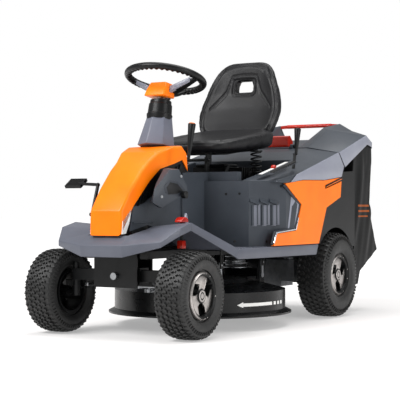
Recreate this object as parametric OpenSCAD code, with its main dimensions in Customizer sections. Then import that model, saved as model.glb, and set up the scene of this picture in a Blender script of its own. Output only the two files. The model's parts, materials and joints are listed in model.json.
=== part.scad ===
// Compact ride-on lawn mower with a rear grass collector.
// Millimetres, +X to the driver's left, +Y to the rear, +Z up.
// The origin is on the ground, under the middle of the whole machine.

/* [Wheels] */
// Distance between front and rear axles
wheelbase = 1130; // [900:5:1400]
// Distance between the front tyre centres
front_track = 575; // [560:1:640]
// Distance between the rear tyre centres
rear_track = 591; // [580:1:660]
// Outer radius of a front tyre
front_tyre_r = 158.5; // [140:0.5:170]
// Outer radius of a rear tyre
rear_tyre_r = 182; // [165:0.5:200]
// Width of a front tyre
front_tyre_w = 127; // [90:1:130]
// Width of a rear tyre
rear_tyre_w = 140; // [100:1:150]
// Radius of the bead seat of every rim
rim_r = 87; // [70:1:95]
// Radius of the front spindles and the rear half shafts
axle_r = 9.5; // [7:0.5:12]
// Radius of a kingpin
kingpin_r = 10; // [7:0.5:12]
// Distance from a kingpin to its tyre's centre plane
kingpin_offset = 72.5; // [70:0.5:90]
// Length of each steering arm
steer_arm = 70; // [50:1:80]

/* [Steering] */
// Radius of the steering wheel, to the middle of its rim
wheel_ring_r = 148; // [120:1:170]
// Radius of the rim's section
wheel_tube_r = 13; // [9:0.5:16]
// Backward tilt of the steering column
column_tilt = 14.7; // [5:0.1:25]
// Radius of the steering shaft
shaft_r = 9; // [6:0.5:12]

/* [Cutting deck] */
// Outer radius of the deck's wall
deck_r = 346; // [300:1:360]
// Radius of the round the blade tips sweep
blade_r = 325; // [250:1:330]
// Height of the deck's lower edge above the ground
deck_z = 52; // [40:1:70]
// Thickness of the deck's sheet
deck_t = 3; // [2:0.5:5]
// Radius of the deck's blade spindle
spindle_r = 12.5; // [9:0.5:16]

/* [Body] */
// Half width across the running boards and the rear fenders
body_half = 355; // [340:1:362]
// Thickness of the moulded covers
skin = 4; // [3:0.5:6]
// Half width of the tunnel between the driver's feet
tunnel_half = 110; // [100:1:130]
// Height of the footwell floor
floor_z = 318; // [316:1:326]
// Half width of the bonnet's nose
nose_half = 70; // [60:1:84]

/* [Seat] */
// Half width of the seat pan
seat_half = 216; // [180:1:230]
// Radius of the seat's hinge pin
seat_pin_r = 5; // [4:0.5:7]

/* [Collector] */
// Half width of the grass bag
bag_half = 320; // [280:1:330]
// How far behind the front axle the bag reaches
bag_rear = 1615; // [1600:1:1680]
// Radius of the collector's hinge pins
hinge_r = 5; // [4:0.5:7]
// Radius of the hole in the hitch plate
hitch_r = 8; // [6:0.5:10]

/* [Fits] */
// Radial clearance of a shaft that turns in its bore
fit = 0.06; // [0.02:0.01:0.1]
// Gap between pieces that pass without touching
gap = 0.4; // [0.3:0.1:1]
// Gap round a pivot that is left loose, with room for its swing
loose = 9.5; // [8:0.5:12]

/* [Hidden] */
$fn = 64;

// Everything below is placed from the front axle, then moved so that the origin is in the middle.
middle_y = (bag_rear - front_tyre_r) / 2;
front_z = front_tyre_r;
rear_z = rear_tyre_r;
kingpin_x = front_track / 2 - kingpin_offset;
cover_x = 60;                       // wheel face, outboard of the tyre's centre plane
rail_x = 108;                       // frame rails, inner face
rail_w = 32;
rail_top = floor_z - skin;
rail_z = rail_top - 28;
pivot_z = 222;                      // swing axis of the front axle
beam_half_y = 30;
beam_z0 = 192;
beam_z1 = 252;
tube_z0 = front_z + 19.5;           // kingpin tube
tube_z1 = beam_z1 + 3;
arm_z = front_z + 8;                // steering arms, lower face
arm_t = 6;
link_r = 5;
pitman_y = 104;                     // output shaft of the steering gearbox
gearbox_z = rail_top;
wheel_c = [0, 288, 972];            // centre of the steering wheel's rim
cover_base = -273;                  // along the column, from the rim's centre
cover_top = -140;
boot_top = -83;
cover_r = 62;
hub_drop = -58;
deck_y = 547;
deck_wall = 94;                     // height of the deck's straight wall
link_x = 190;                       // lift links, across and along the deck
link_y = 170;
link_h = 56;
lift = 35;                          // how far the deck rises
deck_top = deck_z + 135;
link_z = deck_top + 6 + link_h;     // upper studs of the links, deck down
crank_x = 84;
crank_y = 690;
engine_r = 95;
drive_z = rail_z - 24;              // belt planes
cutter_z = drive_z - 26;
belt_t = 5.2;
groove = 3;                         // depth of a pulley's groove below its working radius
crank_drive_r = 38;
crank_cutter_r = 45;
spindle_pulley_r = 60;
transaxle_pulley_r = 50;
transaxle_pulley_x = 136;
transaxle_pulley_y = wheelbase - 45;
chute_x0 = -rail_x + gap * 10;
chute_x1 = 62;
pto_pivot = [0, 131, 520];
pto_x = 186;
knob = [200, 84, 406.5];
console_x = 177;
lift_pivot = [300, 776, 560];
throttle = [-300, 724, 588];
pedal_pivot = [0, 75, 446];
pedal_pin_r = 7;
seat_pivot = [0, 440, 660];
lid_front = 1124;
barrel_r = hinge_r + 4;
tip_pivot = [0, lid_front - 1, 733 + barrel_r];  // hinge of the collector
hinge_x = 120;                      // hinge barrels: fender from here, then the lid
barrel_w = 16;
slot_w = 10;
spring_x = 176;
spring_y = 700;

module placed() translate([0, -middle_y, 0]) children();
module both_sides() { children(); mirror([1, 0, 0]) children(); }
// A side outline given as [y, z], spread across the machine from x0 to x1
module across(x0, x1) translate([x0, 0, 0]) rotate([90, 0, 90]) linear_extrude(x1 - x0) children();
// A plan outline given as [x, y], raised from z0 to z1
module upright(z0, z1) translate([0, 0, z0]) linear_extrude(z1 - z0) children();
// A block between two corners
module block(a, b) translate(a) cube(b - a);
// A round bar from a to b
module bar(a, b, r) {
    d = b - a;
    translate(a) rotate([0, acos(d.z / norm(d)), atan2(d.y, d.x)]) cylinder(h = norm(d), r = r);
}
// A round bar across the machine
module pin_x(x0, x1, y, z, r) translate([x0, y, z]) rotate([0, 90, 0]) cylinder(h = x1 - x0, r = r);
// A round bar along the machine
module pin_y(y0, y1, x, z, r) translate([x, y0, z]) rotate([-90, 0, 0]) cylinder(h = y1 - y0, r = r);
// A thin panel through the given points
module sheet(points, t = skin) hull() for (p = points) translate(p) cube(t, center = true);
// Along the steering column, upward, from the centre of the rim
module on_column() translate(wheel_c) rotate([-column_tilt, 0, 0]) children();
// A belt groove pulley
module pulley(r) rotate_extrude() polygon([
    [0, -10], [r + 5, -10], [r + 5, -8], [r - groove, -3], [r - groove, 3], [r + 5, 8], [r + 5, 10], [0, 10]]);
// A belt loop round two pulleys given as [x, y, r]
module belt(a, b, z) translate([0, 0, z - belt_t / 2]) linear_extrude(belt_t) difference() {
    belt_outline(a, b, belt_t / 2);
    belt_outline(a, b, -groove + gap);
}
module belt_outline(a, b, grow) hull() {
    translate([a.x, a.y]) circle(a[2] + grow);
    translate([b.x, b.y]) circle(b[2] + grow);
}

module chassis_frame() color("#1B1C1E") placed() difference() {
    union() {
        both_sides() block([rail_x, -52, rail_z], [rail_x + rail_w, 1296, rail_top]);
        // cross members: battery tray with gearbox plate, engine plate, footwell, rear
        block([-rail_x, -52, rail_top - 6], [rail_x, 160, rail_top]);
        block([-rail_x, 560, rail_top - 6], [rail_x, 800, rail_top]);
        block([-250, 420, rail_top - 6], [250, 446, rail_top]);
        block([-rail_x, 1290, rail_z - 4], [rail_x, 1296, rail_top]);
        // plates that hold the axle's pivot bolt
        for (y = [-52, 46]) block([-95, y, 180], [95, y + 6, rail_top - 5]);
        // hangers for the transaxle
        both_sides() block([rail_x - 4, wheelbase + 16, 250], [rail_x, wheelbase + 50, rail_z + 10]);
        // slotted tabs that guide the deck's lift links
        both_sides() for (y = [deck_y - link_y, deck_y + link_y]) {
            block([rail_x + rail_w - 1, y - 10, rail_top - 10], [link_x + 12, y + 10, rail_top - 4]);
            block([link_x + 7.2 + gap, y - 10, deck_top + link_h - 8], [link_x + 12, y + 10, rail_top - 4]);
        }
        // drop plate and hitch plate
        block([-60, 1290, 168], [60, 1296, rail_z]);
        block([-60, 1290, 168], [60, 1344, 176]);
    }
    pin_y(-60, 60, 0, pivot_z, 8 + fit);
    translate([0, pitman_y, rail_z]) cylinder(h = 40, r = 11);
    translate([crank_x, crank_y, rail_top - 8]) cylinder(h = 10, r = 20);
    translate([0, 1322, 160]) cylinder(h = 30, r = hitch_r);
    both_sides() for (y = [deck_y - link_y, deck_y + link_y])
        block([link_x, y - 4 - gap, link_z - 4 - gap], [link_x + 20, y + 4 + gap, link_z + lift + 4 + gap]);
}

module axle_pivot_bolt() color("#8A8D90") placed() {
    pin_y(-58, 58, 0, pivot_z, 8);
    pin_y(-66, -52 - gap, 0, pivot_z, 13);
    pin_y(52 + gap, 62, 0, pivot_z, 13);
}

module front_axle_beam() color("#18191B") placed() {
    difference() {
        union() {
            block([-92, -beam_half_y, beam_z0], [92, beam_half_y, beam_z1]);
            block([-kingpin_x, -beam_half_y + 6, beam_z0 + 10], [kingpin_x, beam_half_y - 6, beam_z1 - 8]);
            pin_y(-46 + gap, 46 - gap, 0, pivot_z, 20);
            both_sides() translate([kingpin_x, 0, tube_z0]) cylinder(h = tube_z1 - tube_z0, r = kingpin_r + 4);
        }
        pin_y(-60, 60, 0, pivot_z, 8 + fit);
        both_sides() translate([kingpin_x, 0, tube_z0 - 5])
            cylinder(h = tube_z1 - tube_z0 + 10, r = kingpin_r + fit);
    }
}

// A steering knuckle: kingpin, wheel spindle and steering arm in one forging
module knuckle() {
    difference() {
        union() {
            translate([kingpin_x, 0, tube_z0 - 12]) cylinder(h = tube_z1 - tube_z0 + 26, r = kingpin_r);
            translate([kingpin_x, 0, tube_z1 + gap]) cylinder(h = 10, r = kingpin_r + 2);
            translate([kingpin_x, 0, front_z - 17]) cylinder(h = tube_z0 - gap - front_z + 17, r = kingpin_r + 6);
            pin_x(kingpin_x, front_track / 2 + cover_x - 14, 0, front_z, axle_r);
            block([kingpin_x - 9, 0, arm_z], [kingpin_x + 8, steer_arm, arm_z + arm_t]);
            translate([kingpin_x, steer_arm, arm_z]) cylinder(h = arm_t, r = 9);
        }
        translate([kingpin_x, steer_arm, arm_z - 5]) cylinder(h = 20, r = link_r + fit);
    }
}
module knuckle_left() color("#232427") placed() knuckle();
module knuckle_right() color("#232427") placed() mirror([1, 0, 0]) knuckle();

// Two ends with studs that drop into the knuckles' arms
module tie_rod() color("#3A3C3F") placed() {
    z = arm_z + arm_t + 1 + link_r;
    pin_x(-kingpin_x, kingpin_x, steer_arm, z, link_r);
    both_sides() {
        translate([kingpin_x, steer_arm, arm_z + arm_t + gap]) cylinder(h = 2 * link_r + 2, r = 8.5);
        translate([kingpin_x, steer_arm, arm_z + arm_t / 2]) cylinder(h = arm_t, r = link_r);
    }
}

// From the left steering arm to the gearbox's arm; its stud hangs in a loose eye there
module drag_link() color("#3A3C3F") placed() {
    z = arm_z - 6 - link_r;
    difference() {
        union() {
            bar([kingpin_x, steer_arm, z], [0, pitman_y + steer_arm, z], link_r);
            translate([kingpin_x, steer_arm, z - 6]) cylinder(h = arm_z - gap - z + 6, r = 8.5);
            translate([kingpin_x, steer_arm, z]) cylinder(h = arm_z + arm_t / 2 - gap - z, r = link_r);
            translate([0, pitman_y + steer_arm, z - 6]) cylinder(h = 12, r = 8 + loose);
        }
        translate([0, pitman_y + steer_arm, z - 8]) cylinder(h = 30, r = 4 + loose);
    }
}

module steering_gearbox() color("#2B2D30") placed() {
    difference() {
        block([-42, 80, gearbox_z], [42, 152, gearbox_z + 34]);
        translate([0, pitman_y, gearbox_z - 1]) cylinder(h = 25, r = 10 + fit);
        on_column() translate([0, 0, -700]) cylinder(h = 200, r = shaft_r + fit);
    }
}

module pitman_arm() color("#3A3C3F") placed() {
    z = arm_z - 12 - 2 * link_r;
    translate([0, pitman_y, z + 30]) cylinder(h = gearbox_z + 18 - z - 30, r = 10);
    translate([0, pitman_y, z + 24]) cylinder(h = 8, r = 13);
    block([-7, pitman_y, z + 24], [7, pitman_y + steer_arm, z + 30]);
    translate([0, pitman_y + steer_arm, z + 24]) cylinder(h = 6, r = 9);
    translate([0, pitman_y + steer_arm, z + 4]) cylinder(h = 24, r = 4);
}

// A tyre whose hollow fits the rim; r0 is the rim's radius there
module tyre(r, w) {
    rotate([0, 90, 0]) rotate_extrude($fn = 96) polygon([
        [rim_r + gap / 4, -w * 0.36], [rim_r + 8, -w * 0.44], [r * 0.8, -w / 2], [r - 16, -w / 2], [r - 5, -w * 0.43],
        [r, -w * 0.3], [r, w * 0.3], [r - 5, w * 0.43], [r - 16, w / 2], [r * 0.8, w / 2],
        [rim_r + 8, w * 0.44], [rim_r + gap / 4, w * 0.36],
        [rim_r + gap / 4, w * 0.3], [rim_r + 14, w * 0.3], [r - 18, w * 0.34], [r - 18, -w * 0.34],
        [rim_r + 14, -w * 0.3], [rim_r + gap / 4, -w * 0.3]]);
}
// A rim with a dished face of three windows, open at the back
module rim(w) {
    face = cover_x;
    difference() {
        rotate([0, 90, 0]) rotate_extrude($fn = 96) polygon([
            [axle_r + fit, -w * 0.3], [20, -w * 0.3], [20, 18], [rim_r - 12, 26], [rim_r - 12, -w * 0.4],
            [rim_r - 5, -w * 0.4], [rim_r - 5, -w * 0.36], [rim_r, -w * 0.36], [rim_r, w * 0.36],
            [rim_r - 1, w * 0.36], [rim_r - 1, face - 6], [rim_r - 6, face], [rim_r - 14, face - 4],
            [rim_r - 20, 32], [30, 28], [30, face - 16], [24, face - 8], [0, face - 8],
            [0, face - 13], [axle_r + fit, face - 13]]);
        for (i = [0 : 2]) rotate([i * 120 + 30, 0, 0]) across(10, face + 5)
            polygon([[-27, 40], [27, 40], [40, rim_r - 24], [0, rim_r - 18], [-40, rim_r - 24]]);
    }
}
module front_rim_left() color("#A8A39F") placed() translate([front_track / 2, 0, front_z]) rim(front_tyre_w);
module front_rim_right() color("#A8A39F") placed()
    mirror([1, 0, 0]) translate([front_track / 2, 0, front_z]) rim(front_tyre_w);
module front_tyre_left() color("#1A1A1A") placed()
    translate([front_track / 2, 0, front_z]) tyre(front_tyre_r, front_tyre_w);
module front_tyre_right() color("#1A1A1A") placed()
    translate([-front_track / 2, 0, front_z]) tyre(front_tyre_r, front_tyre_w);
module rear_rim_left() color("#A8A39F") placed()
    translate([rear_track / 2, wheelbase, rear_z]) rim(rear_tyre_w);
module rear_rim_right() color("#A8A39F") placed()
    mirror([1, 0, 0]) translate([rear_track / 2, wheelbase, rear_z]) rim(rear_tyre_w);
module rear_tyre_left() color("#1A1A1A") placed()
    translate([rear_track / 2, wheelbase, rear_z]) tyre(rear_tyre_r, rear_tyre_w);
module rear_tyre_right() color("#1A1A1A") placed()
    translate([-rear_track / 2, wheelbase, rear_z]) tyre(rear_tyre_r, rear_tyre_w);

// A half shaft that turns in the transaxle and carries one rear rim
module half_shaft() pin_x(60, rear_track / 2 + cover_x - 14, wheelbase, rear_z, axle_r);
module half_shaft_left() color("#77797C") placed() half_shaft();
module half_shaft_right() color("#77797C") placed() mirror([1, 0, 0]) half_shaft();

module transaxle() color("#303236") placed() {
    difference() {
        union() {
            block([-100, wheelbase - 60, rear_z - 55], [100, wheelbase + 52, rear_z + 62]);
            block([90, wheelbase - 72, rear_z - 30], [168, wheelbase - 20, rear_z + 62]);
            pin_x(-196, 196, wheelbase, rear_z, 24);
            both_sides() block([rail_x - 20, wheelbase + 16, rear_z + 40], [rail_x - 4, wheelbase + 50, rail_z]);
        }
        both_sides() pin_x(50, 210, wheelbase, rear_z, axle_r + fit);
        translate([transaxle_pulley_x, transaxle_pulley_y, rear_z - 10]) cylinder(h = 100, r = axle_r + fit);
    }
}
module transaxle_pulley() color("#6D6F72") placed() translate([transaxle_pulley_x, transaxle_pulley_y, drive_z]) {
    pulley(transaxle_pulley_r);
    translate([0, 0, -70]) cylinder(h = 76, r = axle_r);
}
module crank_pulleys() color("#6D6F72") placed() translate([crank_x, crank_y, 0]) {
    translate([0, 0, drive_z]) pulley(crank_drive_r);
    translate([0, 0, cutter_z]) pulley(crank_cutter_r);
    translate([0, 0, cutter_z - 10]) cylinder(h = rail_top + 40 - cutter_z + 10, r = 12);
}
module drive_belt() color("#202020") placed()
    belt([crank_x, crank_y, crank_drive_r], [transaxle_pulley_x, transaxle_pulley_y, transaxle_pulley_r], drive_z);
module cutter_belt() color("#202020") placed()
    belt([0, deck_y, spindle_pulley_r], [crank_x, crank_y, crank_cutter_r], cutter_z);

// Vertical-shaft engine: crankcase and cylinder, then the blower housing and the silencer
module engine_block() color("#5A5D60") placed() {
    difference() {
        union() {
            translate([crank_x, crank_y, rail_top]) cylinder(h = 110, r = engine_r);
            block([crank_x - 160, crank_y - 48, rail_top + 22], [crank_x - 60, crank_y + 48, rail_top + 106]);
            for (i = [0 : 5])
                block([crank_x - 150, crank_y - 58, rail_top + 26 + 13 * i], [crank_x - 70, crank_y + 58, rail_top + 31 + 13 * i]);
        }
        translate([crank_x, crank_y, rail_top - 1]) cylinder(h = 60, r = 12 + fit);
    }
}
module engine_cowl() color("#1E1F21") placed() {
    z = rail_top + 110;
    translate([crank_x, crank_y, z]) rotate_extrude() polygon([
        [0, 0], [112, 0], [112, 116], [96, 136], [74, 142], [74, 132], [34, 132], [34, 158], [0, 158]]);
    block([crank_x - 168, crank_y - 62, z], [crank_x - 60, crank_y + 62, z + 62]);
}
module muffler() color("#4A4B4D") placed() {
    y = crank_y + 138;
    pin_x(crank_x - 150, crank_x + 20, y, rail_top + 60, 38);
    pin_y(crank_y + 58, y, crank_x - 110, rail_top + 66, 11);
    pin_x(crank_x + 18, crank_x + 44, y + 10, rail_top + 48, 9);
}
module fuel_tank() color("#D9D9D2") placed() {
    across(-58, 58) polygon([[-44, 420], [-44, 508], [60, 602], [104, 606], [104, 420]]);
    translate([0, 82, 590]) cylinder(h = 34, r = 22);
}
module battery() color("#26282B") placed() {
    block([-68, -44, rail_top], [68, 62, rail_top + 92]);
    both_sides() translate([45, -20, rail_top + 90]) cylinder(h = 9, r = 7);
}

// Round deck shell with a flared lower edge, stepped top and a rear outlet
module deck_shell() color("#1C1D1F") placed() {
    difference() {
        union() {
            translate([0, deck_y, 0]) rotate_extrude($fn = 128) polygon([
                [0, deck_top - deck_t], [188, deck_top - deck_t], [196, deck_top - 20], [258, deck_top - 26],
                [deck_r - deck_t, deck_z + deck_wall - 3], [deck_r - deck_t, deck_z + 14], [deck_r + 14, deck_z],
                [deck_r + 24, deck_z], [deck_r + 24, deck_z + 7], [deck_r, deck_z + 19],
                [deck_r, deck_z + deck_wall], [262, deck_top - 20], [200, deck_top - 14], [192, deck_top],
                [spindle_r + 24, deck_top], [spindle_r + 20, deck_top + 16], [0, deck_top + 16]]);
            translate([0, deck_y, deck_top - 46]) cylinder(h = 50, r = spindle_r + 12);
            // outlet spout, and ears for the lift links
            across(chute_x0, chute_x1) polygon([
                [deck_y + 250, deck_z + 12], [deck_y + 362, deck_z + 12],
                [deck_y + 362, deck_z + 128], [deck_y + 250, deck_z + 128]]);
            for (x = [-link_x, link_x], y = [deck_y - link_y, deck_y + link_y])
                block([x - 3, y - 18, deck_top - 30], [x + 3, y + 18, deck_top + 22]);
        }
        translate([0, deck_y, deck_z - 60]) cylinder(h = 400, r = spindle_r + fit);
        // room for the blade's tips beside the spout
        translate([0, deck_y, deck_z - 1]) cylinder(h = deck_wall - 15, r = (blade_r + deck_r - deck_t) / 2);
        across(chute_x0 + deck_t, chute_x1 - deck_t) polygon([
            [deck_y + 200, deck_z - 20], [deck_y + 400, deck_z - 20],
            [deck_y + 400, deck_z + 128 - deck_t], [deck_y + 200, deck_z + 128 - deck_t - 6]]);
        for (x = [-link_x, link_x], y = [deck_y - link_y, deck_y + link_y])
            pin_x(x - 10, x + 10, y, deck_top + 10, 5 + fit);
    }
}
// Four lift links, whose upper studs slide in the frame's tabs
module deck_links() color("#8E9092") placed() both_sides() for (y = [deck_y - link_y, deck_y + link_y]) {
    pin_x(link_x - 9, link_x + 4, y, deck_top + 10, 5);
    pin_x(link_x + 4, link_x + 12, y, link_z, 4);
    across(link_x + 3.2, link_x + 7.2) {
        translate([y, deck_top + 10]) circle(11);
        translate([y - 8, deck_top + 10]) square([16, link_h + 8]);
    }
}
module blade() color("#9DA0A3") placed() translate([0, deck_y, deck_z + 26]) difference() {
    union() {
        translate([-blade_r + 8, -26, 0]) cube([2 * blade_r - 16, 52, 5]);
        for (a = [0, 180]) rotate(a) translate([blade_r - 108, 16, 3]) rotate([28, 0, 0]) cube([96, 24, 5]);
    }
    translate([0, 0, -2]) cylinder(h = 12, r = spindle_r);
}
module blade_spindle() color("#7D8083") placed() {
    translate([0, deck_y, deck_z + 10]) cylinder(h = cutter_z + 12 - deck_z - 10, r = spindle_r);
    translate([0, deck_y, deck_z + 14]) cylinder(h = 12, r = 22);
    translate([0, deck_y, deck_z + 31]) cylinder(h = deck_top - 46 - gap - deck_z - 31, r = spindle_r + 9);
    translate([0, deck_y, cutter_z]) pulley(spindle_pulley_r);
}
module discharge_chute() color("#202123") placed() difference() {
    across(chute_x0, chute_x1) polygon([
        [924, 78], [924, 214], [1022, 420], [1326, 590], [1326, 430], [1022, 290]]);
    across(chute_x0 + 3, chute_x1 - 3) polygon([
        [920, 60], [920, 211], [924, 211], [1024, 417], [1330, 589], [1330, 433], [1020, 292], [926, 81], [926, 60]]);
}
// Back wall with side wings round the rear wheels; the chute opens through it
module rear_bulkhead() color("#17181A") placed() difference() {
    union() {
        block([-334, 1326, 300], [334, 1326 + skin, 634]);
        both_sides() across(330, 334) polygon([[934, 322], [964, 560], [1160, 626], [1330, 634], [1330, 300]]);
        both_sides() block([rail_x + rail_w, 1296 - 20, rail_z], [rail_x + rail_w + skin, 1330, rail_top + 40]);
    }
    across(-340, 340) translate([wheelbase, rear_z]) circle(rear_tyre_r + 22);
    block([chute_x0 + 3, 1320, 433], [chute_x1 - 3, 1340, 587]);
}

// Front fender, arches over the front wheels, floor and running boards
module footboard() color("#75787F") placed() difference() {
    both_sides() fender_half();
    translate([crank_x, crank_y, floor_z - 20]) cylinder(h = 40, r = engine_r + gap);
    translate([knob.x, knob.y, knob.z - 90]) cylinder(h = 120, r = 5 + gap);
}
module fender_half() {
    nose = [90, -146, 336];
    corner = [226, -96, 350];
    outer = [264, -24, 399];
    peak = [260, 54, 418];
    sheet([[-1, -146, 336], nose, [88, -100, 372], [-1, -100, 372]]);
    sheet([nose, corner, [92, -60, 380], [88, -100, 372]]);
    sheet([corner, outer, [92, 10, 392], [92, -60, 380]]);
    sheet([outer, peak, [92, 60, 404], [92, 10, 392]]);
    sheet([peak, [352, 242, floor_z], [tunnel_half, 230, floor_z], [92, 60, 404]]);
    // turned-down lip
    sheet([[-1, -146, 336], nose, nose - [0, -4, 42], [-1, -142, 294]]);
    sheet([nose, corner, corner - [0, 0, 18], nose - [0, -4, 42]]);
    sheet([corner, outer, outer - [0, 0, 26], corner - [0, 0, 18]]);
    sheet([outer, peak, peak - [0, 0, 28], outer - [0, 0, 26]]);
    sheet([peak, [352, 242, floor_z], [352, 214, 292], peak - [0, 0, 28]]);
    // running board with its skirt
    block([tunnel_half, 228, floor_z - skin], [body_half, 640, floor_z]);
    block([rail_x + rail_w + 2, 430, floor_z - skin], [body_half, 906, floor_z]);
    across(body_half - skin, body_half) polygon([[214, 290], [242, floor_z], [917, floor_z], [896, 276], [240, 280]]);
}

// Tunnel and engine cover
module body_shell() color("#454A51") placed() difference() {
    union() {
        both_sides() {
            upright(floor_z, 575) polygon([
                [tunnel_half - skin, 236], [tunnel_half, 236], [tunnel_half, 396], [290, 430], [344, 640],
                [344, 930], [344 - skin, 930], [344 - skin, 640], [290 - skin, 434], [tunnel_half - skin, 400]]);
            // shelf round the engine bay
            upright(571, 575) polygon([
                [tunnel_half - 1, 396], [290, 430], [344, 640], [344, 930], [238, 930], [238, 470], [tunnel_half - 1, 440]]);
            // louvres on the side wall
            for (i = [0 : 2]) translate([292 + 14 * i, 446 + 54 * i, 402]) rotate([0, 0, -14.4]) {
                block([-2, 0, 0], [5, 18, 80]);
                block([-2, 24, 4], [5, 36, 84]);
            }
            // bevelled post ahead of the side panel
            hull() {
                block([340, 648, 377], [344, 652, 381]);
                block([340, 684, 527], [344, 688, 531]);
                block([340, 694, 388], [350, 698, 392]);
                block([340, 726, 480], [350, 730, 486]);
            }
            // seats of the two springs
            block([spring_x - 26, spring_y - 28, 571], [242, spring_y + 28, 575]);
        }
        // lugs for the height lever and the throttle lever
        for (x = [lift_pivot.x - 34, lift_pivot.x + 30])
            block([x, lift_pivot.y - 16, lift_pivot.z - 14], [x + 4, lift_pivot.y + 16, 573]);
        for (x = [throttle.x - 26, throttle.x + 22])
            block([x, throttle.y - 9, 573], [x + 4, throttle.y + 9, throttle.z + 9]);
        across(-tunnel_half, tunnel_half) polygon([
            [236, floor_z], [236, 604], [430, 612], [440, 571], [440, 575], [452, 571], [452, floor_z]]);
        // seat bracket's cross bridge
        block([-240, 430, 571], [240, 462, 612]);
    }
    across(-tunnel_half + skin, tunnel_half - skin) polygon([
        [200, 300], [200, 560], [240, 600], [426, 608], [432, 300]]);
    block([-236, 434, 300], [236, 458, 607]);
    block([-236, 434, 300], [236, 470, 567]);
    pin_x(lift_pivot.x - 40, lift_pivot.x + 40, lift_pivot.y, lift_pivot.z, 8 + fit);
    pin_x(throttle.x - 40, throttle.x + 40, throttle.y, throttle.z, 5 + fit);
    block([lift_pivot.x - slot_w, 740, 568], [lift_pivot.x + slot_w, 820, 580]);
}
module side_panels() color("#FF7A1C") placed() both_sides() difference() {
    across(344 + gap, body_half - 1) polygon([
        [516, floor_z + gap + 4], [541, 369], [711, 379], [760, 485], [617, 567], [773, 583], [981, 586],
        [1150, 602], [1137, 517], [997, 472], [922, floor_z + gap + 4]]);
    across(340, 360) polygon([[983, 566], [1170, 606], [1170, 590], [983, 550]]);
}
// Fender tops beside the seat, with the light band along their outer edge
module rear_fender() color("#6E7178") placed() difference() {
    union() {
        both_sides() {
            across(body_half - skin, body_half) polygon([
                [662, 572], [715, 606], [lid_front - 7, 710], [1178, 648], [1150, 604], [981, 588], [773, 585]]);
            sheet([[342, 560, 577], [238, 470, 577], [238, 570, 600], [342, 715, 604]]);
            sheet([[342, 715, 604], [353, 712, 603], [353, lid_front - 6, 708], [342, lid_front - 6, 708]]);
            sheet([[342, 715, 604], [238, 570, 600], [238, 900, 672], [342, lid_front - 6, 708]]);
            sheet([[342, lid_front - 6, 708], [238, 900, 672], [200, 1000, 704], [200, lid_front - 6, 730]]);
        }
        sheet([[240, 900, 670], [200, 1000, 704], [-200, 1000, 704], [-240, 900, 670]]);
        sheet([[200, 1000, 704], [200, lid_front - 6, 730], [-200, lid_front - 6, 730], [-200, 1000, 704]]);
        // inner wall down to the shelf
        both_sides() across(236, 240) polygon([[470, 575], [470, 580], [570, 602], [900, 674], [900, 575]]);
        block([-240, 896, 575], [240, 900, 674]);
        // collector hinge barrels
        both_sides() {
            pin_x(hinge_x, hinge_x + barrel_w, tip_pivot.y, tip_pivot.z, barrel_r);
            block([hinge_x, tip_pivot.y - 20, 729], [hinge_x + barrel_w, tip_pivot.y, tip_pivot.z]);
        }
    }
    both_sides() {
        pin_x(hinge_x - 10, hinge_x + 60, tip_pivot.y, tip_pivot.z, hinge_r + fit);
        block([hinge_x + barrel_w, tip_pivot.y - barrel_r - 2, 700], [hinge_x + 2 * barrel_w + 2, tip_pivot.y + 20, 780]);
    }
    // slots for the height lever, the throttle and the key
    block([lift_pivot.x - slot_w, 700, 560], [lift_pivot.x + slot_w, 830, 700]);
    block([throttle.x - 5, throttle.y - 24, 560], [throttle.x + 5, throttle.y + 36, 700]);
    translate([throttle.x, 640, 560]) cylinder(h = 80, r = 9);
}

// Bonnet: one moulded skin, open underneath
hood_side = [[-119, 371], [-115, 461], [-52, 544], [12, 609], [105, 681], [174, 703], [240, 708],
    [262, 690], [272, 613], [237, 654], [111, 616], [-41, 478]];
module hood_plan(in = 0) polygon([
    [-nose_half + in, -130], [nose_half - in, -130], [nose_half + 6 - in, 60], [nose_half + 36 - in, 180],
    [nose_half + 42 - in, 300], [-nose_half - 42 + in, 300], [-nose_half - 36 + in, 180], [-nose_half - 6 + in, 60]]);
module hood() color("#FF9018") placed() difference() {
    intersection() {
        across(-160, 160) polygon(hood_side);
        upright(300, 800) hood_plan();
    }
    intersection() {
        across(-160, 160) polygon([[-114, 360], [-111, 459], [-49, 541], [15, 605], [107, 676], [175, 698], [238, 703],
            [300, 680], [300, 300], [-114, 300]]);
        upright(200, 900) hood_plan(skin);
    }
    on_column() translate([0, 0, cover_base - 60]) cylinder(h = 200, r = cover_r + gap);
}
// A side outline kept to the bonnet's plan, between two distances in from its outside
module hood_ring(out, in) difference() {
    intersection() {
        across(-200, 200) children();
        upright(200, 900) hood_plan(out);
    }
    upright(150, 950) hood_plan(in);
}
module vent_grilles() color("#15161A") placed() {
    hood_ring(1, 1 + skin) polygon([
        [-39, 476], [112, 612], [236, 648], [262, 618], [264, 606], [231, 605], [167, 570], [31, 492]]);
    for (i = [0 : 8]) hood_ring(-1.6, 3)
        polygon([[2 + 24 * i, 490 + 14 * i], [9 + 24 * i, 492 + 14 * i], [22 + 24 * i, 524 + 12 * i], [15 + 24 * i, 524 + 12 * i]]);
}
module headlights() color("#E8E6E0") placed()
    hood_ring(-6, -gap) polygon([[-106, 378], [-100, 424], [-48, 468], [-62, 412], [-84, 380]]);

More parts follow.
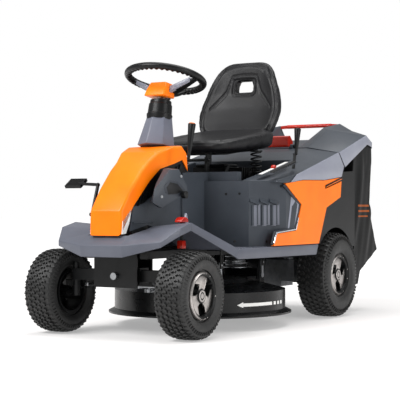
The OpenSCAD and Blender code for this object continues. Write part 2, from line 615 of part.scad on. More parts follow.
// Side shields beside the bonnet, joined to the lever's console on the left
module dash_shroud() color("#474C55") placed() difference() {
    union() {
        hood_ring(-3 - skin, -3) polygon([
            [-60, 386], [-38, 474], [31, 490], [167, 568], [256, 596], [256, 560], [236, 420], [236, floor_z + 4],
            [120, 390], [54, 408]]);
        block([-112, 232, 420], [112, 236, 592]);
        // tray for the fuel tank
        block([-78, -44, 414], [78, 104, 419.6]);
        difference() {
            union() {
                across(nose_half + 6, console_x) polygon([
                    [5, 480], [-5, 572], [112, 606], [158, 590], [160, 508], [20, 474]]);
                across(-console_x, -nose_half - 6) polygon([[45, 432], [45, 470], [110, 470], [110, 432]]);
            }
            upright(200, 900) hood_plan(-3);
        }
    }
    across(112, console_x - 3) polygon([[24, 484], [10, 566], [110, 598], [150, 582], [152, 516]]);
    pin_x(console_x - 10, console_x + 10, pto_pivot.y, pto_pivot.z, 6 + fit);
    pin_x(-200, -60, pedal_pivot.y, pedal_pivot.z, pedal_pin_r + fit);
    across(console_x - 5, console_x + 5) polygon([[40, 536], [52, 566], [96, 572], [110, 540], [70, 524]]);
}

module column_cover() color("#777B82") placed() on_column() difference() {
    union() {
        translate([0, 0, cover_base - 30]) rotate_extrude() polygon([
            [0, 0], [cover_r, 0], [cover_r, 24], [50, cover_top - cover_base + 30], [0, cover_top - cover_base + 30]]);
        translate([0, 0, cover_top]) cylinder(h = boot_top - cover_top, r = 43);
    }
    translate([0, 0, cover_base - 31]) cylinder(h = cover_top - cover_base, r = 42);
    translate([0, 0, cover_base - 40]) cylinder(h = 400, r = shaft_r + fit);
    translate([0, 0, cover_top + 20]) cylinder(h = 400, r = 30);
}
module steering_shaft() color("#5D6063") placed() on_column()
    translate([0, 0, -650]) cylinder(h = 650 + hub_drop - 8, r = shaft_r);
module steering_wheel() color("#191A1B") placed() on_column() {
    difference() {
        union() {
            rotate_extrude($fn = 128) translate([wheel_ring_r, 0]) circle(wheel_tube_r, $fn = 32);
            for (a = [0, 180, 90]) rotate(a) {
                bar([24, 11, hub_drop - 2], [wheel_ring_r - 4, 14, -3], 7);
                bar([24, -11, hub_drop - 2], [wheel_ring_r - 4, -14, -3], 7);
            }
            translate([0, 0, hub_drop - 24.6]) cylinder(h = 36, r = 36);
        }
        translate([0, 0, hub_drop - 40]) cylinder(h = 32, r = shaft_r);
    }
}
module steering_hub_cap() color("#FF8C08") placed() on_column() translate([0, 0, hub_drop + 11.5])
    linear_extrude(14) polygon([[-36, -20], [-28, -28], [28, -28], [36, -20], [30, 24], [-30, 24]]);

module pto_lever() color("#1B1B1C") placed() {
    top = [pto_x + 4, 174, 788];
    foot = [pto_x + 1, pto_pivot.y, pto_pivot.z];
    pin_x(console_x - 3 + gap, pto_x + 5, pto_pivot.y, pto_pivot.z, 6);
    pin_x(console_x + gap, pto_x + 6, pto_pivot.y, pto_pivot.z, 14);
    bar(foot, foot + (top - foot) * 0.6, 6);
    bar(foot + (top - foot) * 0.55, top, 11);
}
module height_lever() color("#1B1B1C") placed() {
    foot = lift_pivot;
    top = [lift_pivot.x, 832, 800];
    bar(foot, foot + (top - foot) * 0.62, 6);
    bar(foot + (top - foot) * 0.55, top, 10.5);
    pin_x(lift_pivot.x - 30, lift_pivot.x + 30, foot.y, foot.z, 8);
}
module brake_pedal() color("#1D1D1E") placed() {
    pin_x(-205, -nose_half - 10 - skin - gap, pedal_pivot.y, pedal_pivot.z, pedal_pin_r);
    bar([-196, pedal_pivot.y - 1, pedal_pivot.z], [-200, 118, 560], 6.6);
    translate([-200, 118, 560]) sphere(8);
    bar([-199, 118, 560], [-300, 133, 565], 6.2);
    translate([-324, 144, 566]) rotate([34, 0, 0]) difference() {
        block([-38, -26, -5], [38, 26, 7]);
        for (i = [-3 : 3]) block([-34, i * 7 - 1.4, 4], [34, i * 7 + 1.4, 10]);
    }
}
module parking_knob() color("#C8201A") placed() {
    translate([knob.x, knob.y, knob.z - 76]) cylinder(h = 80, r = 5);
    translate(knob) rotate_extrude() polygon([[0, 0], [8, 0], [17, 10], [17, 18], [11, 26], [0, 26]]);
    translate([knob.x, knob.y, knob.z - 84]) cylinder(h = 18, r = 12);
}
module throttle_lever() color("#1D1D1E") placed() {
    bar(throttle, throttle + [0, 18, 80], 3.5);
    translate(throttle + [0, 20, 88]) sphere(13);
    pin_x(throttle.x - 28, throttle.x + 28, throttle.y, throttle.z, 5);
}
module ignition_key() color("#3A3A3C") placed() {
    translate([throttle.x, 640, 575]) cylinder(h = 40, r = 9 - gap);
    block([throttle.x - 3, 622, 613], [throttle.x + 3, 658, 640]);
}

// One moulded seat: pan and backrest
module seat() color("#222326") placed() difference() {
    union() {
        hull() for (s = [-1, 1]) {
            translate([s * (seat_half - 76), 480, 690]) cylinder(h = 46, r = 70, $fn = 32);
            translate([s * (seat_half - 40), 780, 724]) cylinder(h = 64, r = 40, $fn = 32);
        }
        hull() for (s = [-1, 1]) {
            translate([s * (seat_half - 66), 800, 764]) rotate([80, 0, 0]) cylinder(h = 46, r = 44, $fn = 32);
            translate([s * 150, 930, 890]) rotate([80, 0, 0]) cylinder(h = 44, r = 46, $fn = 32);
        }
        hull() for (s = [-1, 1]) {
            translate([s * 150, 932, 890]) rotate([82, 0, 0]) cylinder(h = 44, r = 46, $fn = 32);
            translate([s * 80, 960, 1044]) rotate([82, 0, 0]) cylinder(h = 40, r = 60, $fn = 32);
        }
    }
    hull() for (s = [-1, 1]) translate([s * 26, 1040, 992]) rotate([90, 0, 0]) cylinder(h = 240, r = 22, $fn = 32);
}
// Plate under the seat with the two hinge ears
module seat_bracket() color("#2C2E31") placed() difference() {
    union() {
        across(-120, 120) polygon([[426, 684], [550, 684], [780, 713], [780, 718.5], [550, 689.6], [426, 689.6]]);
        both_sides() block([98, seat_pivot.y - 14, 646], [104, seat_pivot.y + 24, 686]);
    }
    pin_x(-120, 120, seat_pivot.y, seat_pivot.z, seat_pin_r + fit);
}
// Hinge pin with its two posts, and the two springs under the pan
module seat_springs() color("#8B8D90") placed() {
    pin_x(-112, 112, seat_pivot.y, seat_pivot.z, seat_pin_r);
    both_sides() {
        block([90, seat_pivot.y - 9, 612], [97, seat_pivot.y + 20, seat_pivot.z + 12]);
        translate([spring_x, spring_y, 575]) {
            cylinder(h = 131.6, r = 19);
            for (i = [0 : 5]) translate([0, 0, 12 + i * 21]) cylinder(h = 8, r = 25);
        }
    }
}

bag_outer = [[1196, 640], [1452, 728], [1556, 741.7], [1548, 690], [1513, 490], [1615, 278], [1424, 186],
    [1400, 124], [1366, 124], [1350, 300], [1338, 447], [1336, 640]];
module grass_bag() color("#151617") placed() difference() {
    across(-bag_half, bag_half) polygon([for (p = bag_outer) [p.x == 1615 ? bag_rear : p.x, p.y]]);
    across(-bag_half + 6, bag_half - 6) polygon([[1342, 800], [1342, 447], [1354, 302], [1370, 134], [1396, 134],
        [1420, 192], [1606, 282], [1507, 490], [1540, 690], [1550, 800]]);
    block([chute_x0 - 4, 1320, 420], [chute_x1 + 4, 1360, 600]);
}
module bag_frame() color("#2A2C2E") placed() both_sides() {
    x = bag_half - 12.6;
    bar([x, 1348.8, 700], [x, 1348.8, 448], 6);
    bar([x, 1348.4, 456], [x, 1361.8, 306], 5.9);
    bar([x, 1356, 310], [x, 1584, 310], 5.8);
    bar([x + 5, 1584, 310], [-1, 1584, 310], 5.6);
    bar([x, 1348.8, 640], [-1, 1348.8, 640], 5.6);
    // hinge arms under the lid, with the pins that turn in the fender's barrels
    bar([x, 1348.8, 700], [hinge_x + barrel_w + 2, 1348.8, 700], 5.6);
    across(hinge_x + barrel_w + gap, hinge_x + 1.5 * barrel_w) {
        translate([tip_pivot.y, tip_pivot.z]) circle(barrel_r);
        polygon([[tip_pivot.y - 7, tip_pivot.z - 5], [tip_pivot.y + 8, tip_pivot.z + 4],
            [1146, 722], [1356, 706], [1356, 695], [1136, 710]]);
    }
    pin_x(hinge_x + 1, hinge_x + barrel_w + 2, tip_pivot.y, tip_pivot.z, hinge_r);
}
module collector_lid() color("#5F636A") placed() {
    difference() {
        union() {
            both_sides() {
                // outer band
                sheet([[body_half - 2, lid_front + 2, 708], [body_half - 2, 1190, 648], [338, 1449, 798], [336, 1466, 758]]);
                sheet([[338, 1449, 798], [336, 1466, 758], [324, 1546, 770], [324, 1546, 752]]);
                // sloping side, crest and valley
                sheet([[body_half - 2, lid_front + 2, 708], [200, lid_front + 2, 734], [200, 1338, 822], [338, 1449, 798]]);
                sheet([[200, 1338, 822], [338, 1449, 798], [324, 1546, 770], [226, 1548, 826]]);
                sheet([[200, 1338, 822], [226, 1548, 826], [156, 1560, 864], [150, 1400, 838]]);
                sheet([[200, lid_front + 2, 734], [200, 1338, 822], [150, 1400, 838], [118, 1220, 742]]);
                sheet([[118, 1220, 742], [150, 1400, 838], [156, 1560, 864], [122, 1560, 792]]);
                sheet([[200, lid_front + 2, 734], [118, 1220, 742], [-1, 1220, 742], [-1, lid_front + 2, 734]]);
                sheet([[118, 1220, 742], [122, 1560, 792], [-1, 1560, 792], [-1, 1220, 742]]);
                sheet([[156, 1560, 864], [226, 1548, 826], [324, 1546, 768], [324, 1546, 744], [122, 1560, 792], [122, 1560, 744]]);
                sheet([[122, 1560, 792], [122, 1560, 744], [-1, 1560, 744], [-1, 1560, 792]]);
            }
        }
        // notches for the hinge arms
        both_sides() block([hinge_x - 2, tip_pivot.y - 20, 700], [hinge_x + 2 * barrel_w + 2, tip_pivot.y + 20, 780]);
    }
}
// Red bar across the back of the lid, and the grip at the front of its valley
module rear_handle() color("#C02A10") placed() {
    hull() for (x = [-112, 112]) translate([x, 1552, 858]) sphere(9, $fn = 32);
    both_sides() sheet([[112, 1552, 858], [140, 1552, 856]], 14);
    across(-60, 60) polygon([[1216, 746.2], [1210, 790], [1236, 796], [1262, 770], [1262, 750.8]]);
}

chassis_frame();
axle_pivot_bolt();
front_axle_beam();
knuckle_left();
knuckle_right();
tie_rod();
drag_link();
steering_gearbox();
pitman_arm();
front_rim_left();
front_rim_right();
front_tyre_left();
front_tyre_right();
rear_rim_left();
rear_rim_right();
rear_tyre_left();
rear_tyre_right();
half_shaft_left();
half_shaft_right();
transaxle();
transaxle_pulley();
drive_belt();
cutter_belt();
crank_pulleys();
engine_block();
engine_cowl();
muffler();
fuel_tank();
battery();
deck_shell();
deck_links();
blade();
blade_spindle();
discharge_chute();
rear_bulkhead();
footboard();
body_shell();
side_panels();
rear_fender();
hood();
vent_grilles();
headlights();
dash_shroud();
column_cover();
steering_shaft();
steering_wheel();
steering_hub_cap();
pto_lever();
height_lever();
brake_pedal();
parking_knob();
throttle_lever();
ignition_key();
seat();
seat_bracket();
seat_springs();
grass_bag();
bag_frame();
collector_lid();
rear_handle();
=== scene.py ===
import json
import math
import bmesh
import bpy
from mathutils import Matrix, Vector


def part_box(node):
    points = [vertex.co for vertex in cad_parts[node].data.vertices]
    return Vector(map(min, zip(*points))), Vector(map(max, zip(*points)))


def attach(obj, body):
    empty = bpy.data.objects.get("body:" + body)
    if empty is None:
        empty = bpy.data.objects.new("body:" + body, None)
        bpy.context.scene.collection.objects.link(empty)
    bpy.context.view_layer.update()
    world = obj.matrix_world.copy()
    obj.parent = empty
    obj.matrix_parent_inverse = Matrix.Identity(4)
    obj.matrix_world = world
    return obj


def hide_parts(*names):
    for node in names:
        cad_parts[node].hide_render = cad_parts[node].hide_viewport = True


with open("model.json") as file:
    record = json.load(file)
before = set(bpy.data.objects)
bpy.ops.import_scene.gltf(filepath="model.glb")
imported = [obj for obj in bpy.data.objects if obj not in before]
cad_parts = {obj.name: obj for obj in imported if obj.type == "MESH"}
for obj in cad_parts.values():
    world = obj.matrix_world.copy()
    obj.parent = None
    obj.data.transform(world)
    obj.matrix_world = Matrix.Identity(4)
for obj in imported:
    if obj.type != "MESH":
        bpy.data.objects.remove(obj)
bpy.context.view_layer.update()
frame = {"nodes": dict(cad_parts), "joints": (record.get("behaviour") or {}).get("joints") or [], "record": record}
nodes = frame["nodes"]
jointPlace = {j["name"]: Vector(j["pos_m"]) for j in frame["joints"] if "pos_m" in j}
frontAxle = jointPlace["axle_swing"].y
print("frame loaded:", len(nodes), "nodes")


def at(x, y, z):  # millimetres, y counted back from the front axle
    return Vector((x / 1000, y / 1000 + frontAxle, z / 1000))


def colour(text):  # sRGB hex to linear
    parts = [int(text[i:i + 2], 16) / 255 for i in (1, 3, 5)]
    return tuple(c / 12.92 if c <= 0.04045 else ((c + 0.055) / 1.055) ** 2.4 for c in parts) + (1,)


def addNode(tree, kind, settings=None, links=None):
    node = tree.nodes.new(kind)
    for key, value in (settings or {}).items():
        if isinstance(key, str) and hasattr(node, key):
            setattr(node, key, value)
        else:
            node.inputs[key].default_value = value
    for socket, source in (links or {}).items():
        tree.links.new(source, node.inputs[socket])
    return node


def newMaterial(name):
    made = bpy.data.materials.new(name)
    made.use_nodes = True
    tree = made.node_tree
    tree.nodes.clear()
    place = addNode(tree, "ShaderNodeTexCoord").outputs["Object"]
    return made, tree, place


def finishMaterial(tree, settings, links):
    shader = addNode(tree, "ShaderNodeBsdfPrincipled", settings, links)
    addNode(tree, "ShaderNodeOutputMaterial", links={"Surface": shader.outputs[0]})


def bumpOf(tree, height, depth, strength=1.0):  # depth in metres
    return addNode(tree, "ShaderNodeBump", {"Strength": strength, "Distance": depth},
                   {"Height": height}).outputs["Normal"]


def mottled(tree, place, first, second, size, detail=3.0):  # size in metres
    cloud = addNode(tree, "ShaderNodeTexNoise", {"Scale": 1 / size, "Detail": detail}, {"Vector": place})
    ramp = addNode(tree, "ShaderNodeValToRGB", links={"Fac": cloud.outputs["Fac"]})
    ramp.color_ramp.elements[0].position = 0.35
    ramp.color_ramp.elements[1].position = 0.68
    ramp.color_ramp.elements[0].color = colour(first)
    ramp.color_ramp.elements[1].color = colour(second)
    return ramp.outputs["Color"]


def ranged(tree, value, low, high):
    return addNode(tree, "ShaderNodeMapRange", {"To Min": low, "To Max": high}, {"Value": value}).outputs[0]


# Injection moulded ABS or polypropylene: even colour, a fine spark-eroded grain, soft gloss
def mouldedPlastic(name, first, second, rough, grain, depth, coat=0.0, shine=0.22):
    made, tree, place = newMaterial(name)
    pits = addNode(tree, "ShaderNodeTexNoise", {"Scale": 1 / grain, "Detail": 2.0}, {"Vector": place})
    wear = addNode(tree, "ShaderNodeTexNoise", {"Scale": 1 / 0.06, "Detail": 4.0}, {"Vector": place})
    finishMaterial(tree, {"IOR": 1.52, "Specular IOR Level": shine, "Coat Weight": coat,
                          "Coat Roughness": 0.12}, {
        "Base Color": mottled(tree, place, first, second, 0.14),
        "Roughness": ranged(tree, wear.outputs["Fac"], rough - 0.05, rough + 0.06),
        "Normal": bumpOf(tree, pits.outputs["Fac"], depth)})
    return made


# Powder coated or enamelled sheet steel: slight orange peel, dust in the hollows
def coatedSteel(name, first, second, rough, peel):
    made, tree, place = newMaterial(name)
    skinWaves = addNode(tree, "ShaderNodeTexNoise", {"Scale": 1 / 0.0016, "Detail": 1.0}, {"Vector": place})
    dust = addNode(tree, "ShaderNodeTexNoise", {"Scale": 1 / 0.03, "Detail": 5.0}, {"Vector": place})
    finishMaterial(tree, {"IOR": 1.5, "Specular IOR Level": 0.28}, {
        "Base Color": mottled(tree, place, first, second, 0.05, 5.0),
        "Roughness": ranged(tree, dust.outputs["Fac"], rough - 0.08, rough + 0.1),
        "Normal": bumpOf(tree, skinWaves.outputs["Fac"], peel)})
    return made


# Bare metal: zinc plate, die casting or ground steel, with drawn or cast texture
def bareMetal(name, first, second, rough, grain, depth, stretch=(1, 1, 1)):
    made, tree, place = newMaterial(name)
    turned = addNode(tree, "ShaderNodeMapping", {"Scale": stretch}, {"Vector": place}).outputs[0]
    marks = addNode(tree, "ShaderNodeTexNoise", {"Scale": 1 / grain, "Detail": 4.0}, {"Vector": turned})
    finishMaterial(tree, {"Metallic": 1.0}, {
        "Base Color": mottled(tree, place, first, second, 0.02, 4.0),
        "Roughness": ranged(tree, marks.outputs["Fac"], rough - 0.1, rough + 0.12),
        "Normal": bumpOf(tree, marks.outputs["Fac"], depth)})
    return made


# Vulcanised tyre rubber: nearly black, matt, dusty on the high spots
def tyreRubber(name):
    made, tree, place = newMaterial(name)
    grit = addNode(tree, "ShaderNodeTexNoise", {"Scale": 1 / 0.0012, "Detail": 3.0}, {"Vector": place})
    dust = addNode(tree, "ShaderNodeTexNoise", {"Scale": 1 / 0.018, "Detail": 6.0}, {"Vector": place})
    finishMaterial(tree, {"IOR": 1.5, "Specular IOR Level": 0.55, "Sheen Weight": 0.06,
                          "Sheen Roughness": 0.4}, {
        "Base Color": mottled(tree, place, "#0D0E0F", "#1D1D1C", 0.012, 6.0),
        "Roughness": ranged(tree, dust.outputs["Fac"], 0.42, 0.68),
        "Normal": bumpOf(tree, grit.outputs["Fac"], 0.0002)})
    return made


# PVC coated seat cover: small leather-like pebbles about 1.5 mm across, drawn a little coarse to show
def seatVinyl(name):
    made, tree, place = newMaterial(name)
    pebbles = addNode(tree, "ShaderNodeTexVoronoi", {"Scale": 1 / 0.0022}, {"Vector": place})
    rub = addNode(tree, "ShaderNodeTexNoise", {"Scale": 1 / 0.05, "Detail": 4.0}, {"Vector": place})
    finishMaterial(tree, {"IOR": 1.5, "Specular IOR Level": 0.26, "Coat Weight": 0.02,
                          "Coat Roughness": 0.3}, {
        "Base Color": mottled(tree, place, "#09090B", "#0F0F12", 0.09),
        "Roughness": ranged(tree, rub.outputs["Fac"], 0.36, 0.5),
        "Normal": bumpOf(tree, pebbles.outputs["Distance"], 0.0004, 0.6)})
    return made


# Woven polyester, PVC backed: crossed threads about 1.2 mm apart, drawn at 3 mm so that the weave shows
def bagCloth(name):
    made, tree, place = newMaterial(name)
    warp = addNode(tree, "ShaderNodeTexWave", {"bands_direction": "Z", "Scale": 1 / 0.003 / 20 * math.pi},
                   {"Vector": place}).outputs["Fac"]
    weft = addNode(tree, "ShaderNodeTexWave", {"bands_direction": "Y", "Scale": 1 / 0.003 / 20 * math.pi},
                   {"Vector": place}).outputs["Fac"]
    weave = addNode(tree, "ShaderNodeMath", {"operation": "MULTIPLY"}, {0: warp, 1: weft}).outputs[0]
    finishMaterial(tree, {"Sheen Weight": 0.03, "Sheen Roughness": 0.4, "IOR": 1.46,
                          "Specular IOR Level": 0.25}, {
        "Base Color": mottled(tree, place, "#050506", "#0C0D0E", 0.06, 4.0),
        "Roughness": ranged(tree, weave, 0.5, 0.68),
        "Normal": bumpOf(tree, weave, 0.0003, 0.5)})
    return made


# Blow moulded polythene fuel tank: milky, lets some light in
def tankPlastic(name):
    made, tree, place = newMaterial(name)
    ripples = addNode(tree, "ShaderNodeTexNoise", {"Scale": 1 / 0.012, "Detail": 2.0}, {"Vector": place})
    finishMaterial(tree, {"IOR": 1.51, "Subsurface Weight": 0.25, "Subsurface Scale": 0.01,
                          "Roughness": 0.45}, {
        "Base Color": mottled(tree, place, "#D8D7CC", "#E4E3DA", 0.05),
        "Normal": bumpOf(tree, ripples.outputs["Fac"], 0.0004)})
    return made


# Polycarbonate lamp lens over a silvered reflector: pale, fluted, glossy
def lampLens(name):
    made, tree, place = newMaterial(name)
    flutes = addNode(tree, "ShaderNodeTexWave", {"bands_direction": "Z", "Scale": 1 / 0.006 / 20 * math.pi},
                     {"Vector": place}).outputs["Fac"]
    finishMaterial(tree, {"IOR": 1.58, "Roughness": 0.08, "Coat Weight": 0.8}, {
        "Base Color": mottled(tree, place, "#E4E3E0", "#F2F1EE", 0.03),
        "Normal": bumpOf(tree, flutes, 0.0005, 0.4)})
    return made


finishes = {
    "dark_steel": coatedSteel("powderCoatedSteel", "#070809", "#0E0F10", 0.4, 0.0001),
    "zinc": bareMetal("zincPlatedSteel", "#8C8F93", "#A6A8AA", 0.34, 0.004, 0.0001, (1, 1, 6)),
    "rim_silver": bareMetal("silverLacqueredWheelCover", "#B2ADAA", "#C4BFBC", 0.4, 0.0012, 0.00004),
    "tyre_rubber": tyreRubber("vulcanisedTyreRubber"),
    "cast": coatedSteel("sandCastIron", "#2C2D2F", "#3B3C3E", 0.6, 0.0005),
    "alloy": bareMetal("dieCastAluminium", "#77797C", "#8F9194", 0.45, 0.0016, 0.0002),
    "belt_rubber": mouldedPlastic("neopreneBelt", "#141414", "#1E1E1E", 0.7, 0.001, 0.0002),
    "black_plastic": mouldedPlastic("blackPolypropylene", "#08090A", "#0E0F10", 0.36, 0.0011, 0.00018),
    "tank_plastic": tankPlastic("blowMouldedPolythene"),
    "deck_paint": coatedSteel("blackEnamelledSteel", "#0C0D0E", "#141516", 0.28, 0.00008),
    "blade_steel": bareMetal("groundSpringSteel", "#9A9DA0", "#B4B6B8", 0.3, 0.002, 0.0001, (1, 12, 1)),
    "fender_grey": mouldedPlastic("blueGreyAbs", "#555862", "#5E616B", 0.38, 0.0013, 0.00012, 0.04),
    "body_grey": mouldedPlastic("slateGreyAbs", "#353A41", "#3C4148", 0.42, 0.0013, 0.00014, 0.06),
    "orange": mouldedPlastic("orangeGlossAbs", "#F87200", "#FD7C00", 0.36, 0.004, 0.00003, 0.0),
    "lamp": lampLens("polycarbonateLens"),
    "vinyl": seatVinyl("pebbledSeatVinyl"),
    "bag_cloth": bagCloth("wovenPolyester"),
    "red_plastic": mouldedPlastic("redGlossAbs", "#A81604", "#BE2406", 0.34, 0.003, 0.00004, 0.25),
}
deepGrey = mouldedPlastic("deepGreyAbs", "#30343A", "#363A41", 0.42, 0.0013, 0.00014)
paleGrey = mouldedPlastic("paleGreyAbs", "#838693", "#8C8F9B", 0.34, 0.002, 0.00006, 0.2)
satinGrey = mouldedPlastic("satinDarkGreyAbs", "#62656F", "#6B6E78", 0.36, 0.0013, 0.0001, 0.05)
trimFoil = bareMetal("silverTrimFoil", "#C9CBD0", "#DADCE0", 0.2, 0.004, 0.00003)
decalWhite = mouldedPlastic("whiteDecalVinyl", "#E2E2E0", "#EFEFEC", 0.35, 0.002, 0.00002)
decalOrange = mouldedPlastic("orangePrintInk", "#8E4408", "#A2500C", 0.5, 0.001, 0.00005)
screwBlack = mouldedPlastic("blackenedScrewHead", "#0E0F10", "#17181A", 0.45, 0.001, 0.0001)

slotOf = {s["node"]: s["material_slot"] for s in frame["record"]["subparts"]}
for name, node in nodes.items():
    node.data.materials.clear()
    node.data.materials.append(finishes[slotOf[name]])
    for face in node.data.polygons:
        face.material_index = 0
bodyOf = {n: b for b, names in frame["record"]["behaviour"]["bodies"].items() for n in names}
print("materials made:", len(bpy.data.materials))


def addPiece(name, bm, material, body, stands=(), crease=32, flip=True):
    bmesh.ops.remove_doubles(bm, verts=bm.verts, dist=0.00002)
    if flip:
        bmesh.ops.recalc_face_normals(bm, faces=bm.faces)
    mesh = bpy.data.meshes.new(name)
    bm.to_mesh(mesh)
    bm.free()
    mesh.materials.append(material)
    mesh.shade_smooth()
    mesh.set_sharp_from_angle(angle=math.radians(crease))
    piece = bpy.data.objects.new(name, mesh)
    bpy.context.collection.objects.link(piece)
    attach(piece, body)
    if stands:
        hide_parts(*stands)
    return piece


def tint(piece, material, test):  # a second material on the faces that pass the test
    piece.data.materials.append(material)
    for face in piece.data.polygons:
        if test(face.center, face.normal):
            face.material_index = len(piece.data.materials) - 1


def vertsOf(made):
    return [g for g in made["geom"] if isinstance(g, bmesh.types.BMVert)]


def outlineSolid(points, axis, low, high):  # an outline spread along x, y or z between two places
    bm = bmesh.new()
    spot = {"x": lambda p, d: at(d, p[0], p[1]), "y": lambda p, d: at(p[0], d, p[1]),
            "z": lambda p, d: at(p[0], p[1], d)}[axis]
    first = bm.faces.new([bm.verts.new(spot(p, low)) for p in points])
    grown = bmesh.ops.extrude_face_region(bm, geom=[first], use_keep_orig=True)
    step = {"x": Vector((1, 0, 0)), "y": Vector((0, 1, 0)), "z": Vector((0, 0, 1))}[axis]
    bmesh.ops.translate(bm, verts=vertsOf(grown), vec=step * (high - low) / 1000)
    bmesh.ops.recalc_face_normals(bm, faces=bm.faces)
    return bm


def panel(points, faces):  # named corners joined into faces
    bm = bmesh.new()
    made = {key: bm.verts.new(at(*place)) for key, place in points.items()}
    for face in faces:
        bm.faces.new([made[key] for key in face.split()])
    return bm


def mirrored(bm):
    bmesh.ops.mirror(bm, geom=bm.verts[:] + bm.edges[:] + bm.faces[:], axis="X", merge_dist=0.0001)
    bmesh.ops.remove_doubles(bm, verts=bm.verts, dist=0.0001)
    bmesh.ops.recalc_face_normals(bm, faces=bm.faces)


def thicken(bm, wall, outward):  # outward: a direction that the open sheet's faces should look
    bmesh.ops.recalc_face_normals(bm, faces=bm.faces)
    total = sum((f.normal * f.calc_area() for f in bm.faces), Vector())
    if total.dot(Vector(outward)) < 0:
        bmesh.ops.reverse_faces(bm, faces=bm.faces)
    bmesh.ops.solidify(bm, geom=bm.faces[:], thickness=wall / 1000)


def roundEdges(bm, width, segments=3, angle=20, pick=None):
    chosen = [e for e in bm.edges if len(e.link_faces) == 2 and e.calc_face_angle(0) > math.radians(angle)
              and (pick is None or pick(e))]
    bmesh.ops.bevel(bm, geom=chosen, offset=width / 1000, offset_type="OFFSET", segments=segments,
                    profile=0.5, affect="EDGES", clamp_overlap=True, material=-1)


def join(bm, other):
    spare = bpy.data.meshes.new("spare")
    other.to_mesh(spare)
    other.free()
    bm.from_mesh(spare)
    bpy.data.meshes.remove(spare)


def block(low, high, width=0.0, segments=2):
    bm = bmesh.new()
    bmesh.ops.create_cube(bm, size=1)
    a, b = at(*low), at(*high)
    bmesh.ops.scale(bm, verts=bm.verts, vec=b - a)
    bmesh.ops.translate(bm, verts=bm.verts, vec=(a + b) / 2)
    if width:
        roundEdges(bm, width, segments)
    return bm


def rod(start, end, r0, r1=None, sides=24, width=0.0):  # millimetres; start and end are places
    bm = bmesh.new()
    line = end - start
    bmesh.ops.create_cone(bm, cap_ends=True, segments=sides, radius1=r0 / 1000,
                          radius2=(r0 if r1 is None else r1) / 1000, depth=line.length)
    if width:
        roundEdges(bm, width, 3, 40)
    turn = line.to_track_quat("Z", "Y").to_matrix().to_4x4()
    bmesh.ops.transform(bm, matrix=Matrix.Translation((start + end) / 2) @ turn, verts=bm.verts)
    return bm


def copyNode(name):  # a merged copy of a CAD node
    bm = bmesh.new()
    bm.from_mesh(nodes[name].data)
    bmesh.ops.remove_doubles(bm, verts=bm.verts, dist=0.00002)
    bmesh.ops.dissolve_limit(bm, angle_limit=math.radians(1), verts=bm.verts, edges=bm.edges)
    return bm


def spun(points, centre, axis, steps=96):  # points are (along, radius) in millimetres, spun about x or z
    bm = bmesh.new()
    if axis == "x":
        ring = [bm.verts.new(centre + Vector((a / 1000, 0, r / 1000))) for a, r in points]
    else:
        ring = [bm.verts.new(centre + Vector((r / 1000, 0, a / 1000))) for a, r in points]
    edges = [bm.edges.new(pair) for pair in zip(ring, ring[1:])]
    turnAxis = (1, 0, 0) if axis == "x" else (0, 0, 1)
    bmesh.ops.spin(bm, geom=ring + edges, cent=centre, axis=turnAxis, angle=math.tau, steps=steps,
                   use_merge=True, use_normal_flip=False, use_duplicate=False)
    bmesh.ops.remove_doubles(bm, verts=bm.verts, dist=0.00002)
    bmesh.ops.recalc_face_normals(bm, faces=bm.faces)
    return bm


# rows of chevron blocks across the tyre, blocks and side lugs round it, and heights in millimetres
turfTread = {"rows": (-1.5, -0.5, 0.5, 1.5), "count": 44, "rise": 6.2, "lugs": 64, "carcass": 6.2,
             "bead": 87.2}


def treadBlock(bm, outline, radius, tilt, shift, centre):  # one block at the top of the tyre
    foot = [bm.verts.new((x / 1000, y / 1000, 0)) for x, y in outline]
    face = bm.faces.new(foot)
    grown = bmesh.ops.extrude_face_region(bm, geom=[face], use_keep_orig=True)
    top = vertsOf(grown)
    bmesh.ops.translate(bm, verts=top, vec=(0, 0, (turfTread["rise"] + 2) / 1000))
    bmesh.ops.scale(bm, verts=top, vec=(0.84, 0.84, 1))
    made = foot + top
    move = Matrix.Translation(centre + Vector((shift, 0, radius)) / 1000) @ Matrix.Rotation(tilt, 4, "Y")
    bmesh.ops.transform(bm, matrix=move, verts=made)
    return made


def aroundWheel(bm, made, centre, count, phase=0.0):
    geom = (list(made) + list({f for v in made for f in v.link_faces})
            + list({e for v in made for e in v.link_edges}))
    bmesh.ops.rotate(bm, verts=made, cent=centre, matrix=Matrix.Rotation(phase, 3, "X"))
    for i in range(1, count):
        copy = bmesh.ops.duplicate(bm, geom=geom)
        bmesh.ops.rotate(bm, verts=vertsOf(copy), cent=centre,
                         matrix=Matrix.Rotation(math.tau * i / count, 3, "X"))


